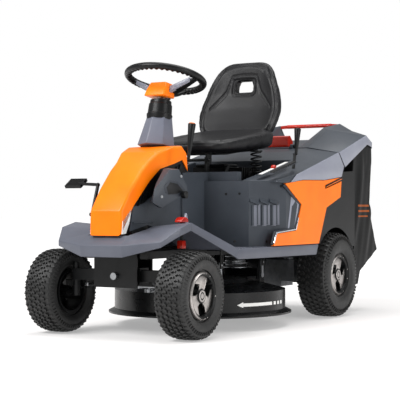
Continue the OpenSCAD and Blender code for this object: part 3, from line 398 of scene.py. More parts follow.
def turfTyre(node):
    low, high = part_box(node)
    centre = (Vector(low) + Vector(high)) / 2
    w = (high[0] - low[0]) * 1000
    r = (high[2] - low[2]) * 500
    bead = turfTread["bead"]
    crown = r - turfTread["carcass"]
    half = [(0.5 * w - 21, bead), (0.5 * w - 20, bead + 6), (0.5 * w - 11, bead + 8),
            (0.5 * w - 10, bead + 11), (0.5 * w - 4, bead + 18), (0.5 * w - 1.5, bead + 30)]
    half += [(0.5 * w - 1 - 18 * (1 - math.cos(a)), bead + 34 + (crown - bead - 34) * math.sin(a))
             for a in [math.radians(d) for d in (10, 25, 40, 55, 68)]]
    half += [(0.3 * w, crown - 3.2), (0.15 * w, crown - 0.8)]
    inner = [(-0.5 * w + 21, bead), (-0.5 * w + 24, bead + 16), (0.5 * w - 24, bead + 16),
             (0.5 * w - 21, bead)]
    loop = half + [(-x, z) for x, z in reversed(half)] + inner[1:]
    bm = spun(loop, centre, "x")
    pitch = math.tau * r / turfTread["count"]
    arm = pitch * 0.34
    reach = w * 0.07
    chevron = [(-reach, -arm), (0, -arm * 0.25), (reach, -arm), (reach, arm * 0.15), (0, arm),
               (-reach, arm * 0.15)]
    for row in turfTread["rows"]:
        made = treadBlock(bm, chevron, crown - 2 - abs(row) * 1.0, row * 0.07, row * w * 0.158, centre)
        aroundWheel(bm, made, centre, turfTread["count"], (row + 0.5) * 0.5 * math.tau / turfTread["count"])
    for side in (-1, 1):
        slim = pitch * 0.17
        outer = [(-w * 0.05, -slim), (w * 0.05, -slim), (w * 0.05, slim), (-w * 0.05, slim)]
        made = treadBlock(bm, outer, crown - 7.2, side * 0.42, side * w * 0.375, centre)
        aroundWheel(bm, made, centre, turfTread["count"], 0.25 * math.tau / turfTread["count"])
        bar = [(-w * 0.05, -slim * 0.6), (w * 0.07, -slim * 0.45), (w * 0.07, slim * 0.45),
               (-w * 0.05, slim * 0.6)]
        if side < 0:
            bar = [(-x, y) for x, y in reversed(bar)]
        made = treadBlock(bm, bar, crown - 19, side * 1.05, side * w * 0.443, centre)
        aroundWheel(bm, made, centre, turfTread["lugs"])
    return addPiece(node + "_turf", bm, finishes["tyre_rubber"], bodyOf[node], [node], 30)


for node in ("front_tyre_left", "front_tyre_right", "rear_tyre_left", "rear_tyre_right"):
    turfTyre(node)


# radii in millimetres, spoke half width and lean in degrees
cover = {"outer": 81, "inner": 24, "spokes": 3, "halfTurn": 44, "skew": 9}


def wheelCover(node, side):
    bm = copyNode(node)
    low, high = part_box(node)
    centre = (Vector(low) + Vector(high)) / 2
    face = high[0] if side > 0 else low[0]
    piece = addPiece(node + "_pan", bm, finishes["black_plastic"], bodyOf[node], [node], 28)
    tint(piece, finishes["rim_silver"], lambda c, n: side * (c.x - face) > -0.02
         and math.hypot(c.y - centre.y, c.z - centre.z) > 0.078)
    front = face - side * 0.009
    bm = spun([(0, cover["outer"] - 3), (3, cover["outer"] - 2), (3, cover["outer"] + 4),
               (-3, cover["outer"] + 4), (-3, cover["outer"] - 3)],
              Vector((front, centre.y, centre.z)), "x", 72)
    for spoke in range(cover["spokes"]):
        middle = 90 + spoke * 360 / cover["spokes"]
        arc = [(cover["inner"] - 6, a) for a in range(-60, 61, 10)]
        arc += [(46, 20), (cover["outer"] - 1, cover["halfTurn"] + cover["skew"])]
        arc += [(cover["outer"] - 1, a + cover["skew"])
                for a in range(cover["halfTurn"] - 8, -cover["halfTurn"], -8)]
        arc += [(cover["outer"] - 1, -cover["halfTurn"] + cover["skew"]), (46, -34)]
        plate = bmesh.new()
        rim = [plate.verts.new((front, centre.y + math.cos(math.radians(middle + a)) * r / 1000,
                                centre.z + math.sin(math.radians(middle + a)) * r / 1000)) for r, a in arc]
        made = bmesh.ops.extrude_face_region(plate, geom=[plate.faces.new(rim)], use_keep_orig=True)
        bmesh.ops.translate(plate, verts=vertsOf(made), vec=(-side * 0.006, 0, 0))
        bmesh.ops.recalc_face_normals(plate, faces=plate.faces)
        roundEdges(plate, 1.6, 2, 40)
        for v in plate.verts:
            out = math.hypot(v.co.y - centre.y, v.co.z - centre.z) * 1000
            v.co.x -= side * 0.00006 * abs(out - 50) ** 1.2
        join(bm, plate)
    bmesh.ops.recalc_face_normals(bm, faces=bm.faces)
    addPiece(node + "_spokes", bm, finishes["rim_silver"], bodyOf[node], flip=False)
    hub = Vector((front, centre.y, centre.z))
    steps = [(-6, 0), (-6, 23), (0, 22.5), (2, 20), (2, 15.5), (0.4, 14), (0.4, 10), (1.6, 9), (1.8, 0)]
    cap = spun([(side * along, radius) for along, radius in steps], hub, "x", 64)
    addPiece(node + "_hub_cap", cap, finishes["rim_silver"], bodyOf[node])


for corner in ("front", "rear"):
    wheelCover(corner + "_rim_left", 1)
    wheelCover(corner + "_rim_right", -1)
print("wheels made")


bonnet = {"chamfer": 13, "skin": 4, "top": 5}


def bonnetHalf(y):  # half width at a distance behind the front axle, in millimetres
    for (y0, w0), (y1, w1) in (((-130, 70), (60, 76)), ((60, 76), (180, 106)), ((180, 106), (300, 112))):
        if y <= y1:
            return w0 + (w1 - w0) * (y - y0) / (y1 - y0)
    return 112


def makeBonnet():
    side = [(-119, 371), (-116, 461), (-52, 544), (12, 609), (105, 681), (174, 703), (240, 708),
            (262, 690), (272, 613), (237, 654), (111, 616), (-41, 478)]
    bm = outlineSolid(side, "x", -1, 1)
    for y in (60, 180):
        bmesh.ops.bisect_plane(bm, geom=bm.verts[:] + bm.edges[:] + bm.faces[:], plane_co=at(0, y, 0),
                               plane_no=(0, 1, 0), dist=0.00001)
    for v in bm.verts:
        v.co.x = math.copysign(bonnetHalf((v.co.y - frontAxle) * 1000) / 1000, v.co.x)
    bm.normal_update()
    under = [f for f in bm.faces if abs(f.normal.x) < 0.5 and (f.normal.z < -0.2 or f.normal.y > 0.6 and
             f.calc_center_median().z < 0.66) and f.calc_center_median().y > frontAxle - 0.118]
    bmesh.ops.delete(bm, geom=under, context="FACES")
    roundEdges(bm, bonnet["chamfer"], 3, 55, pick=lambda e: abs(e.verts[0].co.x) > 0.02
               and abs(e.verts[0].co.x - e.verts[1].co.x) < 0.05)
    roundEdges(bm, bonnet["top"], 3, 12, pick=lambda e: abs(e.verts[0].co.x - e.verts[1].co.x) > 0.08)
    thicken(bm, bonnet["skin"], (0, -1, 1))
    return addPiece("bonnet_skin", bm, finishes["orange"], "chassis", ["hood"], 30)


makeBonnet()


def makeFender():
    p = {"n0": (0, -146, 336), "n": (90, -146, 336), "a0": (0, -100, 372), "a": (88, -100, 372),
         "c": (226, -96, 350), "b": (92, -60, 380), "o": (264, -24, 399), "d": (92, 10, 392),
         "k": (260, 54, 418), "e": (92, 60, 404), "fo": (354, 242, 318), "fi": (110, 230, 318),
         "ln0": (0, -142, 294), "ln": (90, -142, 294), "lc": (226, -96, 330), "lo": (264, -24, 371),
         "lk": (260, 54, 388), "lf": (354, 214, 290)}
    bm = panel(p, ["n0 n a a0", "n c b a", "c o d b", "o k e d", "k fo fi e", "n0 ln0 ln n", "n ln lc c",
                   "c lc lo o", "o lo lk k", "k lk lf fo"])
    mirrored(bm)
    thicken(bm, 4, (0, -1, 1))
    roundEdges(bm, 3.2, 3, 14)
    join(bm, block((111, 228, 314), (350, 640, 318), 1))
    join(bm, block((144, 430, 313.6), (350, 906, 317.6), 1))
    for side in (-1, 1):
        if side < 0:
            join(bm, block((-350, 228, 314), (-111, 640, 318), 1))
            join(bm, block((-350, 430, 313.6), (-144, 906, 317.6), 1))
        beam = outlineSolid([(214, 290), (242, 319), (918, 319), (897, 276), (240, 280)], "x",
                            min(side * 345, side * 355), max(side * 345, side * 355))
        roundEdges(beam, 3.5, 3)
        join(bm, beam)
        for i in range(14):
            y = 262 + i * 24
            x0, x1 = sorted((side * 128, side * 326))
            join(bm, block((x0, y, 317.6), (x1, y + 9, 320.4), 1, 1))
    return addPiece("fender_and_boards", bm, finishes["fender_grey"], "chassis", ["footboard"],
                    30)


makeFender()


def makeRearFender():
    p = {"q1": (342, 560, 577), "q2": (238, 470, 577), "q3": (238, 570, 600), "q4": (342, 715, 604),
         "q5": (354, 714, 605), "q6": (354, 1118, 710), "q7": (342, 1118, 710), "q8": (238, 900, 673),
         "q9": (200, 1000, 706), "q10": (200, 1118, 732), "m8": (0, 900, 672), "m9": (0, 1000, 706),
         "m10": (0, 1118, 732), "b1": (354, 662, 572), "b2": (354, 773, 585), "b3": (354, 981, 588),
         "b4": (354, 1150, 604), "b5": (354, 1176, 650), "w2": (238, 470, 574), "w8": (238, 900, 574)}
    bm = panel(p, ["q2 q1 q4 q3", "q4 q7 q8 q3", "q4 q5 q6 q7", "q7 q10 q9 q8", "q8 q9 m9 m8",
                   "q9 q10 m10 m9", "q5 b1 b2 b3 b4 b5 q6"])
    mirrored(bm)
    thicken(bm, 4, (0, -1, 2))
    roundEdges(bm, 3, 3, 14)
    for side in (-1, 1):
        x0, x1 = sorted((side * 234, side * 238))
        wall = outlineSolid([(470, 574), (470, 577), (570, 598), (900, 670), (900, 574)], "x", x0, x1)
        join(bm, wall)
        x0, x1 = sorted((side * 120, side * 136))
        join(bm, rod(at(x0, 1123, 742), at(x1, 1123, 742), 9, width=1))
        join(bm, block((x0, 1104, 729), (x1, 1122, 741), 1))
    join(bm, block((-238, 896, 574), (238, 900, 671), 1))
    piece = addPiece("fender_tops", bm, finishes["body_grey"], "chassis", ["rear_fender"], 30)
    tint(piece, paleGrey, lambda c, n: abs(c.x) > 0.345 and abs(n.x) > 0.5)


def makeLid():
    p = {"l1": (354, 1126, 710), "l2": (354, 1188, 648), "l3": (339, 1449, 800), "l4": (337, 1466, 758),
         "l5": (326, 1546, 771), "l6": (325, 1546, 750), "l7": (200, 1126, 736), "l8": (200, 1338, 824),
         "l9": (226, 1548, 828), "l10": (156, 1560, 866), "l11": (150, 1400, 840), "l12": (118, 1220, 744),
         "l13": (122, 1560, 794), "m1": (0, 1126, 736), "m2": (0, 1220, 744), "m3": (0, 1560, 794),
         "u1": (325, 1548, 744), "u2": (122, 1562, 744), "u3": (0, 1562, 744)}
    bm = panel(p, ["l1 l2 l4 l3", "l3 l4 l6 l5", "l1 l3 l8 l7", "l3 l5 l9 l8", "l8 l9 l10 l11",
                   "l7 l8 l11 l12", "l11 l10 l13 l12", "l7 l12 m2 m1", "l12 l13 m3 m2",
                   "l9 l5 u1 u2 l13 l10", "l13 u2 u3 m3"])
    mirrored(bm)
    thicken(bm, 4, (0, 1, 2))
    roundEdges(bm, 4, 3, 12)
    piece = addPiece("collector_cover", bm, finishes["body_grey"], "collector", ["collector_lid"],
                     30)
    tint(piece, paleGrey, lambda c, n: abs(c.x) > 0.318 and abs(n.x) > 0.72)


makeRearFender()
makeLid()
print("panels made")


# Sheets that follow the bonnet's plan, on both sides
def bonnetSheet(points, inset, wall):
    bm = outlineSolid(points, "x", 0, 1)
    bmesh.ops.delete(bm, geom=[f for f in bm.faces if f.calc_center_median().x > 0.0001], context="FACES")
    for y in (60, 180):
        bmesh.ops.bisect_plane(bm, geom=bm.verts[:] + bm.edges[:] + bm.faces[:], plane_co=at(0, y, 0),
                               plane_no=(0, 1, 0), dist=0.00001)
    for v in bm.verts:
        v.co.x = (bonnetHalf((v.co.y - frontAxle) * 1000) - inset) / 1000
    thicken(bm, wall, (1, 0, 0))
    mirrored(bm)
    return bm


def bothSides(bm):  # adds the mirrored twin
    twin = bmesh.ops.duplicate(bm, geom=bm.verts[:] + bm.edges[:] + bm.faces[:])
    bmesh.ops.scale(bm, verts=vertsOf(twin), vec=(-1, 1, 1))
    bmesh.ops.recalc_face_normals(bm, faces=bm.faces)
    return bm


def makeGrille():  # ribbed black vents under the bonnet's edge, and the pale lens below them
    bm = bonnetSheet([(-39, 476), (112, 625), (190, 656), (237, 662), (263, 626), (266, 600), (231, 600),
                      (167, 562), (31, 484)], 5, 3)
    for i in range(11):
        y, z = -14 + 22 * i, 478 + 13.4 * i - max(0, i - 8) * 5
        rib = bonnetSheet([(y, z), (y + 7, z + 2), (y + 24, z + 34), (y + 17, z + 34)], -1.6, 5)
        join(bm, rib)
    addPiece("bonnet_grille", bm, finishes["black_plastic"], "chassis", ["vent_grilles"])
    bm = bonnetSheet([(-112, 376), (-107, 424), (-52, 470), (-66, 414), (-86, 378)], 0, 4)
    roundEdges(bm, 1.4, 2)
    addPiece("side_lens", bm, finishes["lamp"], "chassis", ["headlights"])


makeGrille()

console = {"edge": 3, "wall": 3}


def makeConsole():  # shields under the bonnet, the tank's tray and the lever's box
    bm = bonnetSheet([(-60, 386), (-38, 474), (31, 489), (167, 567), (256, 596), (256, 560), (236, 420),
                      (236, 322), (120, 390), (54, 408)], 4, 3)
    join(bm, block((-112, 232, 420), (112, 236, 592), 1))
    join(bm, block((-78, -44, 414), (78, 104, 419.6), 1))
    join(bm, block((-171, 45, 432), (-76, 110, 470), 4))
    points = {"a": (131, 6, 538), "b": (129, 1, 489), "c": (143, 40, 470), "d": (180, 157, 530),
              "e": (180, 157, 551), "f": (168, 118, 614), "g": (152, 84, 612), "h": (106, 56, 560),
              "i": (100, 30, 494), "j": (104, 66, 474), "k": (106, 172, 526), "l": (106, 172, 551),
              "m": (112, 132, 620), "n": (112, 98, 616)}
    shell = panel(points, ["a b c d e f g", "h i b a", "i j c b", "j k d c", "k l e d", "l m f e", "m n g f",
                           "n h a g"])
    thicken(shell, console["wall"], (1, -0.3, 0.1))
    roundEdges(shell, console["edge"], 3, 18)
    join(bm, shell)
    return addPiece("lever_console", bm, finishes["body_grey"], "chassis", ["dash_shroud"], 30)


makeConsole()


def flatPlate(points, axis, low, high, width=1.0):
    bm = outlineSolid(points, axis, low, high)
    roundEdges(bm, width, 2)
    return bm


def screwHead(place, way, radius=6, sunk=1.0):
    way = Vector(way).normalized()
    bm = rod(place - way * 0.002, place + way * sunk / 1000, radius, radius * 0.86, 20)
    return bm


def onConsole(y, z, out=0.0):  # a place on the console's slanted side
    return at(130 + (y - 5) * 0.3289 + out, y, z)


def consolePlate(points, low, high):
    bm = outlineSolid(points, "x", low, high)
    for v in bm.verts:
        y, z = (v.co.y - frontAxle) * 1000, v.co.z * 1000
        v.co = onConsole(y, z, v.co.x * 1000)
    roundEdges(bm, 0.8, 2)
    return bm


bm = consolePlate([(70, 520), (60, 546), (78, 566), (110, 560), (134, 536), (112, 524)], 1, 2.4)
addPiece("console_recess", bm, screwBlack, "chassis")
bm = consolePlate([(56, 524), (50, 552), (76, 574), (114, 568), (146, 540), (118, 516)], -2, 1.4)
addPiece("console_bezel", bm, deepGrey, "chassis")
bm = screwHead(onConsole(128, 588), (0.95, -0.31, 0), 6, 2.4)
join(bm, screwHead(onConsole(40, 512), (0.95, -0.31, 0), 6, 2.4))
addPiece("console_screws", bm, finishes["zinc"], "chassis")
print("bonnet and console made")

column = {"facets": 7, "baseZ": 704, "baseHalf": 74, "topHalf": 49, "centreY": 222, "topY": 244, "topZ": 824}


def makeColumn():  # faceted cone with a black boot on it
    foot, head = at(0, column["centreY"], column["baseZ"]), at(0, column["topY"], column["topZ"])
    bm = rod(foot, head, column["baseHalf"], column["topHalf"], column["facets"])
    for v in bm.verts:
        v.co.y += (v.co.z > head.z - 0.02) * 0.004
    roundEdges(bm, 3, 3, 20)
    slant = (head - foot).normalized()
    addPiece("column_cone", bm, paleFender, "chassis", ["column_cover"], 26)
    rings = [(-16, 40), (-14, 48), (0, 50), (5, 50), (8, 47), (44, 45), (48, 42), (60, 41), (62, 38),
             (62, 12), (-16, 12)]
    boot = spun(rings, Vector((0, 0, 0)), "z", 64)
    turn = slant.to_track_quat("Z", "Y").to_matrix().to_4x4()
    bmesh.ops.transform(boot, matrix=Matrix.Translation(head) @ turn, verts=boot.verts)
    addPiece("column_boot", boot, finishes["black_plastic"], "chassis")


paleFender = mouldedPlastic("satinGreyAbs", "#60636F", "#6A6D79", 0.34, 0.0013, 0.00012, 0.1)
makeColumn()

wheelRim = {"ring": 148, "tube": 13.5, "dish": -58, "tilt": 14.7, "bumps": 44}
wheelPlace = Matrix.Translation(at(0, 288, 972)) @ Matrix.Rotation(math.radians(-wheelRim["tilt"]), 4, "X")


def makeSteeringWheel():
    bm = bmesh.new()
    circle = bmesh.ops.create_circle(bm, segments=20, radius=wheelRim["tube"] / 1000)
    bmesh.ops.rotate(bm, verts=circle["verts"], matrix=Matrix.Rotation(math.radians(90), 3, "X"))
    bmesh.ops.translate(bm, verts=circle["verts"], vec=(wheelRim["ring"] / 1000, 0, 0))
    bmesh.ops.spin(bm, geom=bm.verts[:] + bm.edges[:], cent=(0, 0, 0), axis=(0, 0, 1), angle=math.tau,
                   steps=220, use_merge=True, use_normal_flip=False, use_duplicate=False)
    bmesh.ops.remove_doubles(bm, verts=bm.verts, dist=0.00002)
    for v in bm.verts:  # finger bumps inside and under the ring
        flat = Vector((v.co.x, v.co.y, 0))
        out = flat.normalized()
        off = (v.co - out * wheelRim["ring"] / 1000).normalized()
        hidden = max(0.0, off.dot((-out + Vector((0, 0, -0.8))).normalized()))
        angle = math.atan2(v.co.y, v.co.x)
        v.co += off * 0.0028 * hidden * math.sin(angle * wheelRim["bumps"])
    for way in (0, math.pi, math.pi / 2):
        arm = bmesh.new()
        bmesh.ops.create_cube(arm, size=1)
        lengthwise = [e for e in arm.edges if abs(e.verts[0].co.x - e.verts[1].co.x) > 0.5]
        bmesh.ops.subdivide_edges(arm, edges=lengthwise, cuts=10)
        for v in arm.verts:
            t = v.co.x + 0.5
            drop = wheelRim["dish"] * (1 - t ** 1.6) + (4 - 6 * t)
            half = 27 - 16 * math.sin(t * math.pi / 2) + 4 * t ** 6
            v.co = Vector(((22 + t * 121) / 1000, v.co.y * 2 * half / 1000,
                           (drop + v.co.z * (16 - 4 * t)) / 1000))
        roundEdges(arm, 3, 3, 30)
        bmesh.ops.rotate(arm, verts=arm.verts, matrix=Matrix.Rotation(way, 3, "Z"))
        join(bm, arm)
    hub = spun([(-80, 0), (-80, 30), (-52, 40), (-46, 41), (-42, 38), (-42, 0)], Vector((0, 0, 0)), "z", 64)
    join(bm, hub)
    bmesh.ops.transform(bm, matrix=wheelPlace, verts=bm.verts)
    addPiece("steering_ring", bm, finishes["black_plastic"], "steering_column", ["steering_wheel"],
             40)
    bm = bmesh.new()
    for side in (-1, 1):
        strip = bmesh.new()
        ends = [(42, -64), (42, -40), (84, -22), (122, -6), (122, -22), (84, -42)]
        face = strip.faces.new([strip.verts.new((side * x / 1000, -0.030 + x * 0.00007, z / 1000))
                                for x, z in ends])
        grown = bmesh.ops.extrude_face_region(strip, geom=[face], use_keep_orig=True)
        bmesh.ops.translate(strip, verts=vertsOf(grown), vec=(0, 0.018, 0))
        bmesh.ops.recalc_face_normals(strip, faces=strip.faces)
        roundEdges(strip, 2, 2, 30)
        join(bm, strip)
    bmesh.ops.transform(bm, matrix=wheelPlace, verts=bm.verts)
    addPiece("spoke_inserts", bm, paleGrey, "steering_column")
    bm = outlineSolid([(-50, 896), (44, 896), (41, 930), (34, 953), (-36, 953), (-44, 930)], "y", 208, 286)
    for v in bm.verts:
        high = (v.co.z - 0.898) / 0.055
        v.co.y += 0.020 * high * (v.co.y < at(0, 250, 0).y) - 0.006 * high * (v.co.y > at(0, 250, 0).y)
    roundEdges(bm, 5, 3, 20)
    turn = Matrix.Rotation(math.radians(-8), 4, "X")
    move = Matrix.Translation(at(0, 258, 898)) @ turn @ Matrix.Translation(-at(0, 258, 898))
    bmesh.ops.transform(bm, matrix=move, verts=bm.verts)
    addPiece("wheel_badge", bm, finishes["orange"], "steering_column", ["steering_hub_cap"], 50)


makeSteeringWheel()
print("steering wheel made")


# Foam forms: a rounded box bent by a function, remeshed, blown up by the cloth solver, then sewn
def roundedForm(cuts, power, shape):  # u, v and w run from -1 to 1
    bm = bmesh.new()
    bmesh.ops.create_cube(bm, size=2)
    bmesh.ops.subdivide_edges(bm, edges=bm.edges[:], cuts=cuts, use_grid_fill=True)
    for v in bm.verts:
        n = sum(abs(c) ** power for c in v.co) ** (1 / power)
        v.co = at(*shape(*(v.co / n)))
    bmesh.ops.recalc_face_normals(bm, faces=bm.faces)
    return bm


def bake(obj):  # applies the modifiers
    baked = bpy.data.meshes.new_from_object(obj.evaluated_get(bpy.context.evaluated_depsgraph_get()))
    obj.modifiers.clear()
    spare, obj.data = obj.data, baked
    bpy.data.meshes.remove(spare)


# voxel and cap, the furthest a point may move, are in millimetres
def padForm(name, bm, material, body, stands, voxel, cap, sew, hole=None):
    piece = addPiece(name, bm, material, body, stands)
    if hole is not None:
        cutter = bpy.data.objects.new("cutter", bpy.data.meshes.new("cutter"))
        hole.to_mesh(cutter.data)
        hole.free()
        bpy.context.collection.objects.link(cutter)
        cut = piece.modifiers.new("cut", "BOOLEAN")
        cut.object, cut.operation, cut.solver = cutter, "DIFFERENCE", "EXACT"
        bake(piece)
        bpy.data.objects.remove(cutter)
    remesh = piece.modifiers.new("remesh", "REMESH")
    remesh.mode, remesh.voxel_size, remesh.use_smooth_shade = "VOXEL", voxel / 1000, True
    bake(piece)
    before = [v.co.copy() for v in piece.data.vertices]
    air = piece.modifiers.new("air", "CLOTH")
    air.settings.use_pressure = True
    air.settings.uniform_pressure_force = 4
    air.settings.effector_weights.gravity = 0
    air.settings.quality = 5
    air.point_cache.frame_start, air.point_cache.frame_end = 1, 16
    for step in range(1, 17):
        bpy.context.scene.frame_set(step)
    blown = piece.evaluated_get(bpy.context.evaluated_depsgraph_get()).to_mesh()
    moved = [v.co - b for v, b in zip(blown.vertices, before)]
    piece.modifiers.clear()
    bpy.context.scene.frame_set(1)
    for v, base, step in zip(piece.data.vertices, before, moved):
        v.co = base + step * min(1, cap / 1000 / max(step.length, 1e-9))
    bm = bmesh.new()
    bm.from_mesh(piece.data)
    for turn in range(3):
        bmesh.ops.smooth_vert(bm, verts=bm.verts, factor=0.5, use_axis_x=True, use_axis_y=True,
                              use_axis_z=True)
    bmesh.ops.subdivide_edges(bm, edges=bm.edges[:], cuts=1, use_grid_fill=True, smooth=0.6)
    bm.normal_update()
    for v in bm.verts:
        v.co += v.normal * sew(v.co.x * 1000, (v.co.y - frontAxle) * 1000, v.co.z * 1000, v.normal) / 1000
    bm.to_mesh(piece.data)
    bm.free()
    piece.data.materials.clear()
    piece.data.materials.append(material)
    piece.data.shade_smooth()
    return piece


def between(value, table):
    for (a, p), (b, q) in zip(table, table[1:]):
        if value <= b:
            return p + (q - p) * max(0, (value - a) / (b - a))
    return table[-1][1]


seatPan = {"front": 396, "back": 872, "half": 214, "pipingIn": 0.72,
           "floor": [(400, 694), (576, 704), (872, 730)], "rim": [(400, 736), (576, 764), (872, 816)]}
backRest = {"low": 758, "high": 1103}


def panShape(u, v, w):  # the cushion: dished, higher at the back
    y = seatPan["front"] + (v + 1) / 2 * (seatPan["back"] - seatPan["front"])
    floor = between(y, seatPan["floor"])
    rim = between(y, seatPan["rim"])
    dish = 24 * max(0, 1 - abs(u) ** 4) * max(0, 1 - abs(v) ** 3)
    height = floor + (w + 1) / 2 * (rim - dish - floor)
    taper = 1 - 0.06 * (1 - w) / 2 - 0.05 * max(0, -v) ** 2 - 0.07 * max(0, v) ** 4
    return u * seatPan["half"] * taper, y, height - 5 * (1 - abs(u) ** 2) * (w < 0)


def panSew(x, y, z, n):  # its seams: round the band, along both sides and across the front
    edge = between(y, seatPan["rim"])
    side = max(0, 1 - abs(n.z) * 1.2)
    seam = -2.4 * side * math.exp(-((z - edge + 16) / 3.2) ** 2)
    if n.z > 0.5:
        seam -= 3.2 * math.exp(-((abs(x) - seatPan["pipingIn"] * seatPan["half"]) / 5) ** 2) * (430 < y < 800)
        seam -= 2.6 * math.exp(-((y - 470 - 0.0006 * x * x) / 5) ** 2) * (abs(x) < 150)
    return seam


backHalf = [(740, 168), (800, 184), (850, 194), (879, 197), (920, 191), (980, 172), (1056, 140), (1090, 122),
            (1106, 112)]
backLine = [(740, 840), (790, 856), (830, 876), (894, 904), (960, 926), (1047, 942), (1106, 950)]


def backShape(u, v, w):  # the backrest: sides brought forward
    z = backRest["low"] + (w + 1) / 2 * (backRest["high"] - backRest["low"])
    depth = 20 + 3 * (1 - abs(u) ** 2) - 3 * max(0, w)
    wings = 26 * abs(u) ** 4 * max(0, 1 - abs(w) ** 4)
    y = between(z, backLine) + v * depth - wings + 10 * (1 - u * u) * max(0, 1 - w * w)
    return u * between(z, backHalf), y, z


def archLine(x):  # the sewn arch over the hand hole
    a = abs(x)
    if a < 58:
        return 1046 - 0.0016 * a * a
    return 1040.6 - (a - 58) * 2.6 if a < 84 else 973 - (a - 84) * 1.15


def backSew(x, y, z, n):  # two sewn arches, the thick rim and the pressed frame of the hand hole
    seam = 0.0
    if n.y < -0.2:
        half = between(z, backHalf)
        near = min((math.hypot(x - s, z - archLine(s)) for s in
                    [math.copysign(abs(x) + k * 3, x or 1) for k in range(-5, 6)]), default=99)
        seam -= 3.4 * math.exp(-(near / 4.2) ** 2) * (abs(x) < 150)
        inner = min((math.hypot(x - s, z - archLine(s) + 20 - 0.05 * abs(s)) for s in
                     [math.copysign(max(0, abs(x) + k * 3), x or 1) for k in range(-5, 6)]), default=99)
        seam -= 1.6 * math.exp(-(inner / 4) ** 2) * (abs(x) < 130)
        seam -= 3 * math.exp(-((abs(x) - half + 26) / 5) ** 2) * (z < 1080)
        hole = max(abs(x) - 46, abs(z - 992) - 27, 0)
        rim = math.hypot(max(0, abs(x) - 36), max(0, abs(z - 992) - 17))
        seam -= 5.5 * math.exp(-((rim - 15) / 7) ** 2) * (hole < 30)
    return seam


def makeSeat():
    padForm("seat_cushion", roundedForm(26, 6, panShape), finishes["vinyl"], "driver_seat", ["seat"],
            6, 6, panSew)
    outline = [(-44, 975), (-38, 968), (38, 968), (44, 975), (38, 1013), (32, 1018), (-32, 1018), (-38, 1013)]
    hole = outlineSolid(outline, "y", 780, 1040)
    padForm("seat_backrest", roundedForm(26, 6, backShape), finishes["vinyl"], "driver_seat", [],
            5, 4, backSew, hole)
    bm = outlineSolid([(-150, 690), (150, 690), (132, 676), (-132, 676)], "y", 440, 790)
    for v in bm.verts:
        v.co.z += (v.co.y - at(0, 440, 0).y) * 0.075 + 0.006
    roundEdges(bm, 5, 3)
    addPiece("seat_base", bm, finishes["black_plastic"], "driver_seat")


makeSeat()
print("seat made")

springs = {"x": 176, "y": 700, "foot": 575, "head": 706, "turns": 6, "coil": 21, "wire": 3.4,
           "pinY": 440, "pinZ": 660}


def makeSprings():  # hinge pin, its posts and two coil springs
    bm = rod(at(-112, springs["pinY"], springs["pinZ"]), at(112, springs["pinY"], springs["pinZ"]), 6,
             width=0.8)
    for side in (-1, 1):
        x0, x1 = sorted((side * 90, side * 97))
        join(bm, block((x0, springs["pinY"] - 9, 612), (x1, springs["pinY"] + 20, springs["pinZ"] + 12), 1.5))
        centre = at(side * springs["x"], springs["y"], springs["foot"] + 6)
        coil = bmesh.new()
        made = bmesh.ops.create_circle(coil, segments=10, radius=springs["wire"] / 1000)["verts"]
        bmesh.ops.rotate(coil, verts=made, matrix=Matrix.Rotation(math.radians(90), 3, "X"))
        bmesh.ops.translate(coil, verts=made, vec=centre + Vector((springs["coil"] / 1000, 0, 0)))
        steps = springs["turns"] * 28
        rise = (springs["head"] - springs["foot"] - 14) / 1000 / steps
        bmesh.ops.spin(coil, geom=coil.verts[:] + coil.edges[:], cent=centre, axis=(0, 0, 1),
                       dvec=(0, 0, rise), angle=math.tau * springs["turns"], steps=steps, use_merge=False,
                       use_normal_flip=False, use_duplicate=False)
        bmesh.ops.holes_fill(coil, edges=[e for e in coil.edges if e.is_boundary], sides=0)
        join(bm, coil)
        join(bm, rod(at(side * springs["x"], springs["y"], springs["foot"]),
                     at(side * springs["x"], springs["y"], springs["foot"] + 5), 26, width=1))
        join(bm, rod(at(side * springs["x"], springs["y"], springs["head"] - 6),
                     at(side * springs["x"], springs["y"], springs["head"]), 26, width=1))
    addPiece("seat_coils", bm, finishes["dark_steel"], "chassis", ["seat_springs"], 40)


makeSprings()

# half width, mesh step, cloth and backing, and the heights of the printed stripes, in millimetres
bagCut = {"half": 319, "step": 13, "wall": 1.6, "flat": (1.72, 1.1),
          "stripes": ((428, 436), (452, 460), (476, 484))}
bagEdge = [(1336, 640), (1338, 447), (1350, 300), (1366, 126), (1400, 126), (1424, 186), (1613, 278),
           (1515, 490), (1550, 690), (1554, 756), (1466, 764), (1380, 730), (1342, 712)]


